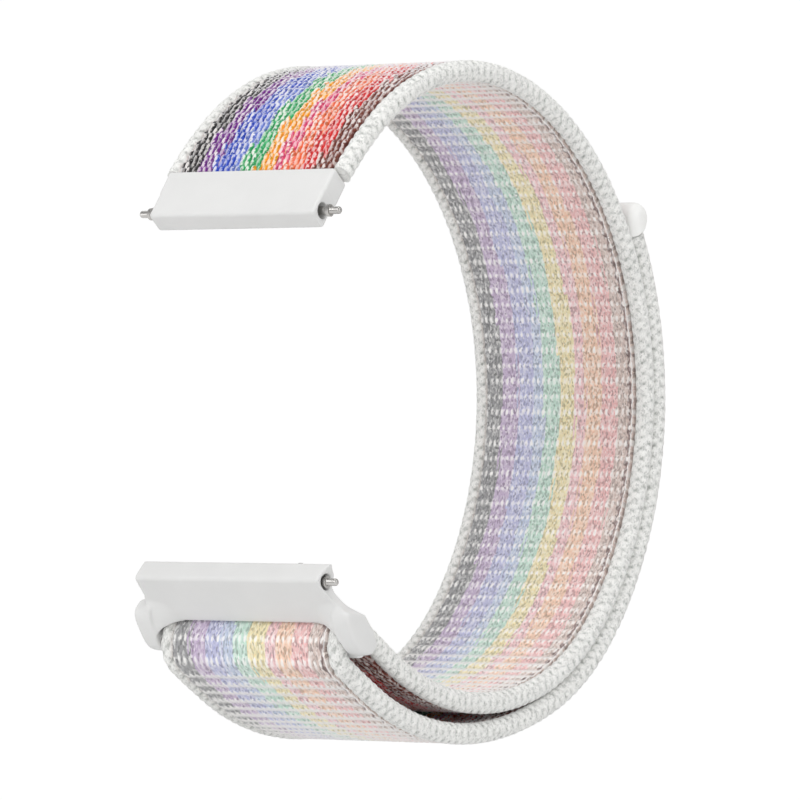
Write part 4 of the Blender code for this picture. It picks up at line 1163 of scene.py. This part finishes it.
for word, coil in springs.items():
    dress(coil, "steel")
    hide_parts(f"{word}_bar_spring")
    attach(coil, BAR_BODIES[word])
    start = Vector((SPRING_START, *{"top": TOP_BAR, "bottom": BOTTOM_BAR}[word])) * MM
    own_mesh(coil)

PAINTED = {"top_bar_tube": "steel", "bottom_bar_tube": "steel", "strap_end_plug": "plug"}
for node, finish in PAINTED.items():
    for material_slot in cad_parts[node].material_slots:
        material_slot.material = finishes[finish]
print("hard pieces dressed:", len(mouldings) + len(steel) + len(springs) + len(PAINTED))

# %% [markdown]
# ## Floor
# A pale floor runs back and curves up into a backdrop. It lies a tail's length below the strap, so
# that the opened tail hangs clear of it. It could be lit to white, but that light would bleach the
# strap. Instead it shows white to the camera through a part of its own glow, keeps the strap's
# soft shadow in the rest, and sends only plain light back to the strap.

# %% Floor sweep
FLOOR_AT = cad_box[0][2] / MM - (STRAP_END - FOLD_END)
FLOOR_FRONT, FLOOR_BACK, FLOOR_SIDE, FLOOR_TOP, SWEEP_RADIUS = -1400.0, 1100.0, 2400.0, 2400.0, 600.0


def floor_sweep():
    """A strip whose profile is flat, then a quarter circle, then upright, seen from the side."""
    angle = np.linspace(0, np.pi / 2, 24)
    ahead = FLOOR_BACK + SWEEP_RADIUS * np.sin(angle)
    up = SWEEP_RADIUS * (1 - np.cos(angle))
    ahead = np.concatenate(((FLOOR_FRONT,), ahead, (FLOOR_BACK + SWEEP_RADIUS,)))[:, None, None]
    up = np.concatenate(((0.0,), up, (FLOOR_TOP,)))[:, None, None]
    aside = np.array((-FLOOR_SIDE, FLOOR_SIDE))[None, :, None]
    toward = np.array((-math.cos(VIEW_TURN), math.sin(VIEW_TURN)))
    beside = np.array((math.sin(VIEW_TURN), math.cos(VIEW_TURN)))
    flat = ahead * toward + aside * beside
    height = np.broadcast_to(up + FLOOR_AT, (*flat.shape[:2], 1))
    row = np.arange(len(up) - 1)[:, None] * 2
    faces = np.hstack((row, row + 1, row + 3, row + 2))[:, ::-1]
    return make_mesh("floor", np.concatenate((flat, height), axis=2).reshape(-1, 3), [faces])


def seen_by(sheet, *rays):
    """1 for the named kinds of ray, which show the background, and 0 for all the others."""
    path = sheet.add("ShaderNodeLightPath")
    seen = path.outputs[f"Is {rays[0]} Ray"]
    for ray in rays[1:]:
        seen = sheet.math("MAXIMUM", seen, path.outputs[f"Is {ray} Ray"])
    return seen


def floor_material():
    """To the camera: soft diffuse light and shadow plus a glow of its own; else plain diffuse."""
    material = bpy.data.materials.new("pale_floor")
    material.use_nodes = True
    nodes = material.node_tree.nodes
    nodes.remove(nodes["Principled BSDF"])
    sheet = Sheet(material.node_tree)
    diffuse = sheet.add("ShaderNodeBsdfDiffuse", {"Color": (0.42, 0.42, 0.42, 1)})
    glow = sheet.add("ShaderNodeEmission", {"Color": (1, 1, 1, 1), "Strength": 0.8})
    both = sheet.add("ShaderNodeAddShader")
    plain = sheet.add("ShaderNodeBsdfDiffuse", {"Color": (0.8, 0.8, 0.8, 1)})
    seen = seen_by(sheet, "Camera", "Glossy", "Transmission")
    chosen = sheet.add("ShaderNodeMixShader", {"Fac": seen})
    for socket, shader in (
        (both.inputs[0], diffuse), (both.inputs[1], glow), (chosen.inputs[1], plain),
        (chosen.inputs[2], both), (nodes["Material Output"].inputs["Surface"], chosen),
    ):
        sheet.feed(socket, shader.outputs[0])
    return material


floor = floor_sweep()
floor.data.materials.append(floor_material())
print("floor at", round(FLOOR_AT, 2), "mm")

# %% [markdown]
# ## Light
# An even sky fills in, and broad lamps in front shape the ribs. One lamp above lights the pile. A
# single strong key light would model the strap more, but it would clip the white cords.

# %% Sky and lamps
SKY_LEVEL = 0.5
LAMPS = (
    # name, place in mm, width in mm, power in watts
    ("front_left_lamp", (-60, -520, 330), 300, 0.95),
    ("camera_side_lamp", (330, -440, 60), 300, 0.65),
    ("top_lamp", (60, -40, 620), 300, 1.1),
    ("right_lamp", (520, 160, 160), 420, 0.75),
    ("left_lamp", (-500, -330, 40), 300, 0.45),
)


def sky():
    """An even sky: white to the camera, and a softer fill on the strap."""
    world = bpy.data.worlds.new("studio_sky")
    world.use_nodes = True
    bpy.context.scene.world = world
    sheet = Sheet(world.node_tree)
    background = world.node_tree.nodes["Background"]
    background.inputs["Color"].default_value = (1, 1, 1, 1)
    level = sheet.scaled(seen_by(sheet, "Camera", "Transmission"), 1 - SKY_LEVEL, SKY_LEVEL)
    sheet.feed(background.inputs["Strength"], level)


def lamp(name, place, width, power):
    """A square lamp at a place in millimetres that faces the loop's middle."""
    data = bpy.data.lights.new(name, "AREA")
    data.size = width * MM
    data.energy = power
    position = Vector(place) * MM
    turn = (position - LOOK_AT).to_track_quat("Z", "Y")
    add_object(name, data).matrix_world = Matrix.Translation(position) @ turn.to_matrix().to_4x4()


sky()
for row in LAMPS:
    lamp(*row)
bpy.context.scene.view_settings.view_transform = "Standard"
print("lamps:", len(LAMPS), "with", round(sum(row[3] for row in LAMPS), 2), "watts in all")
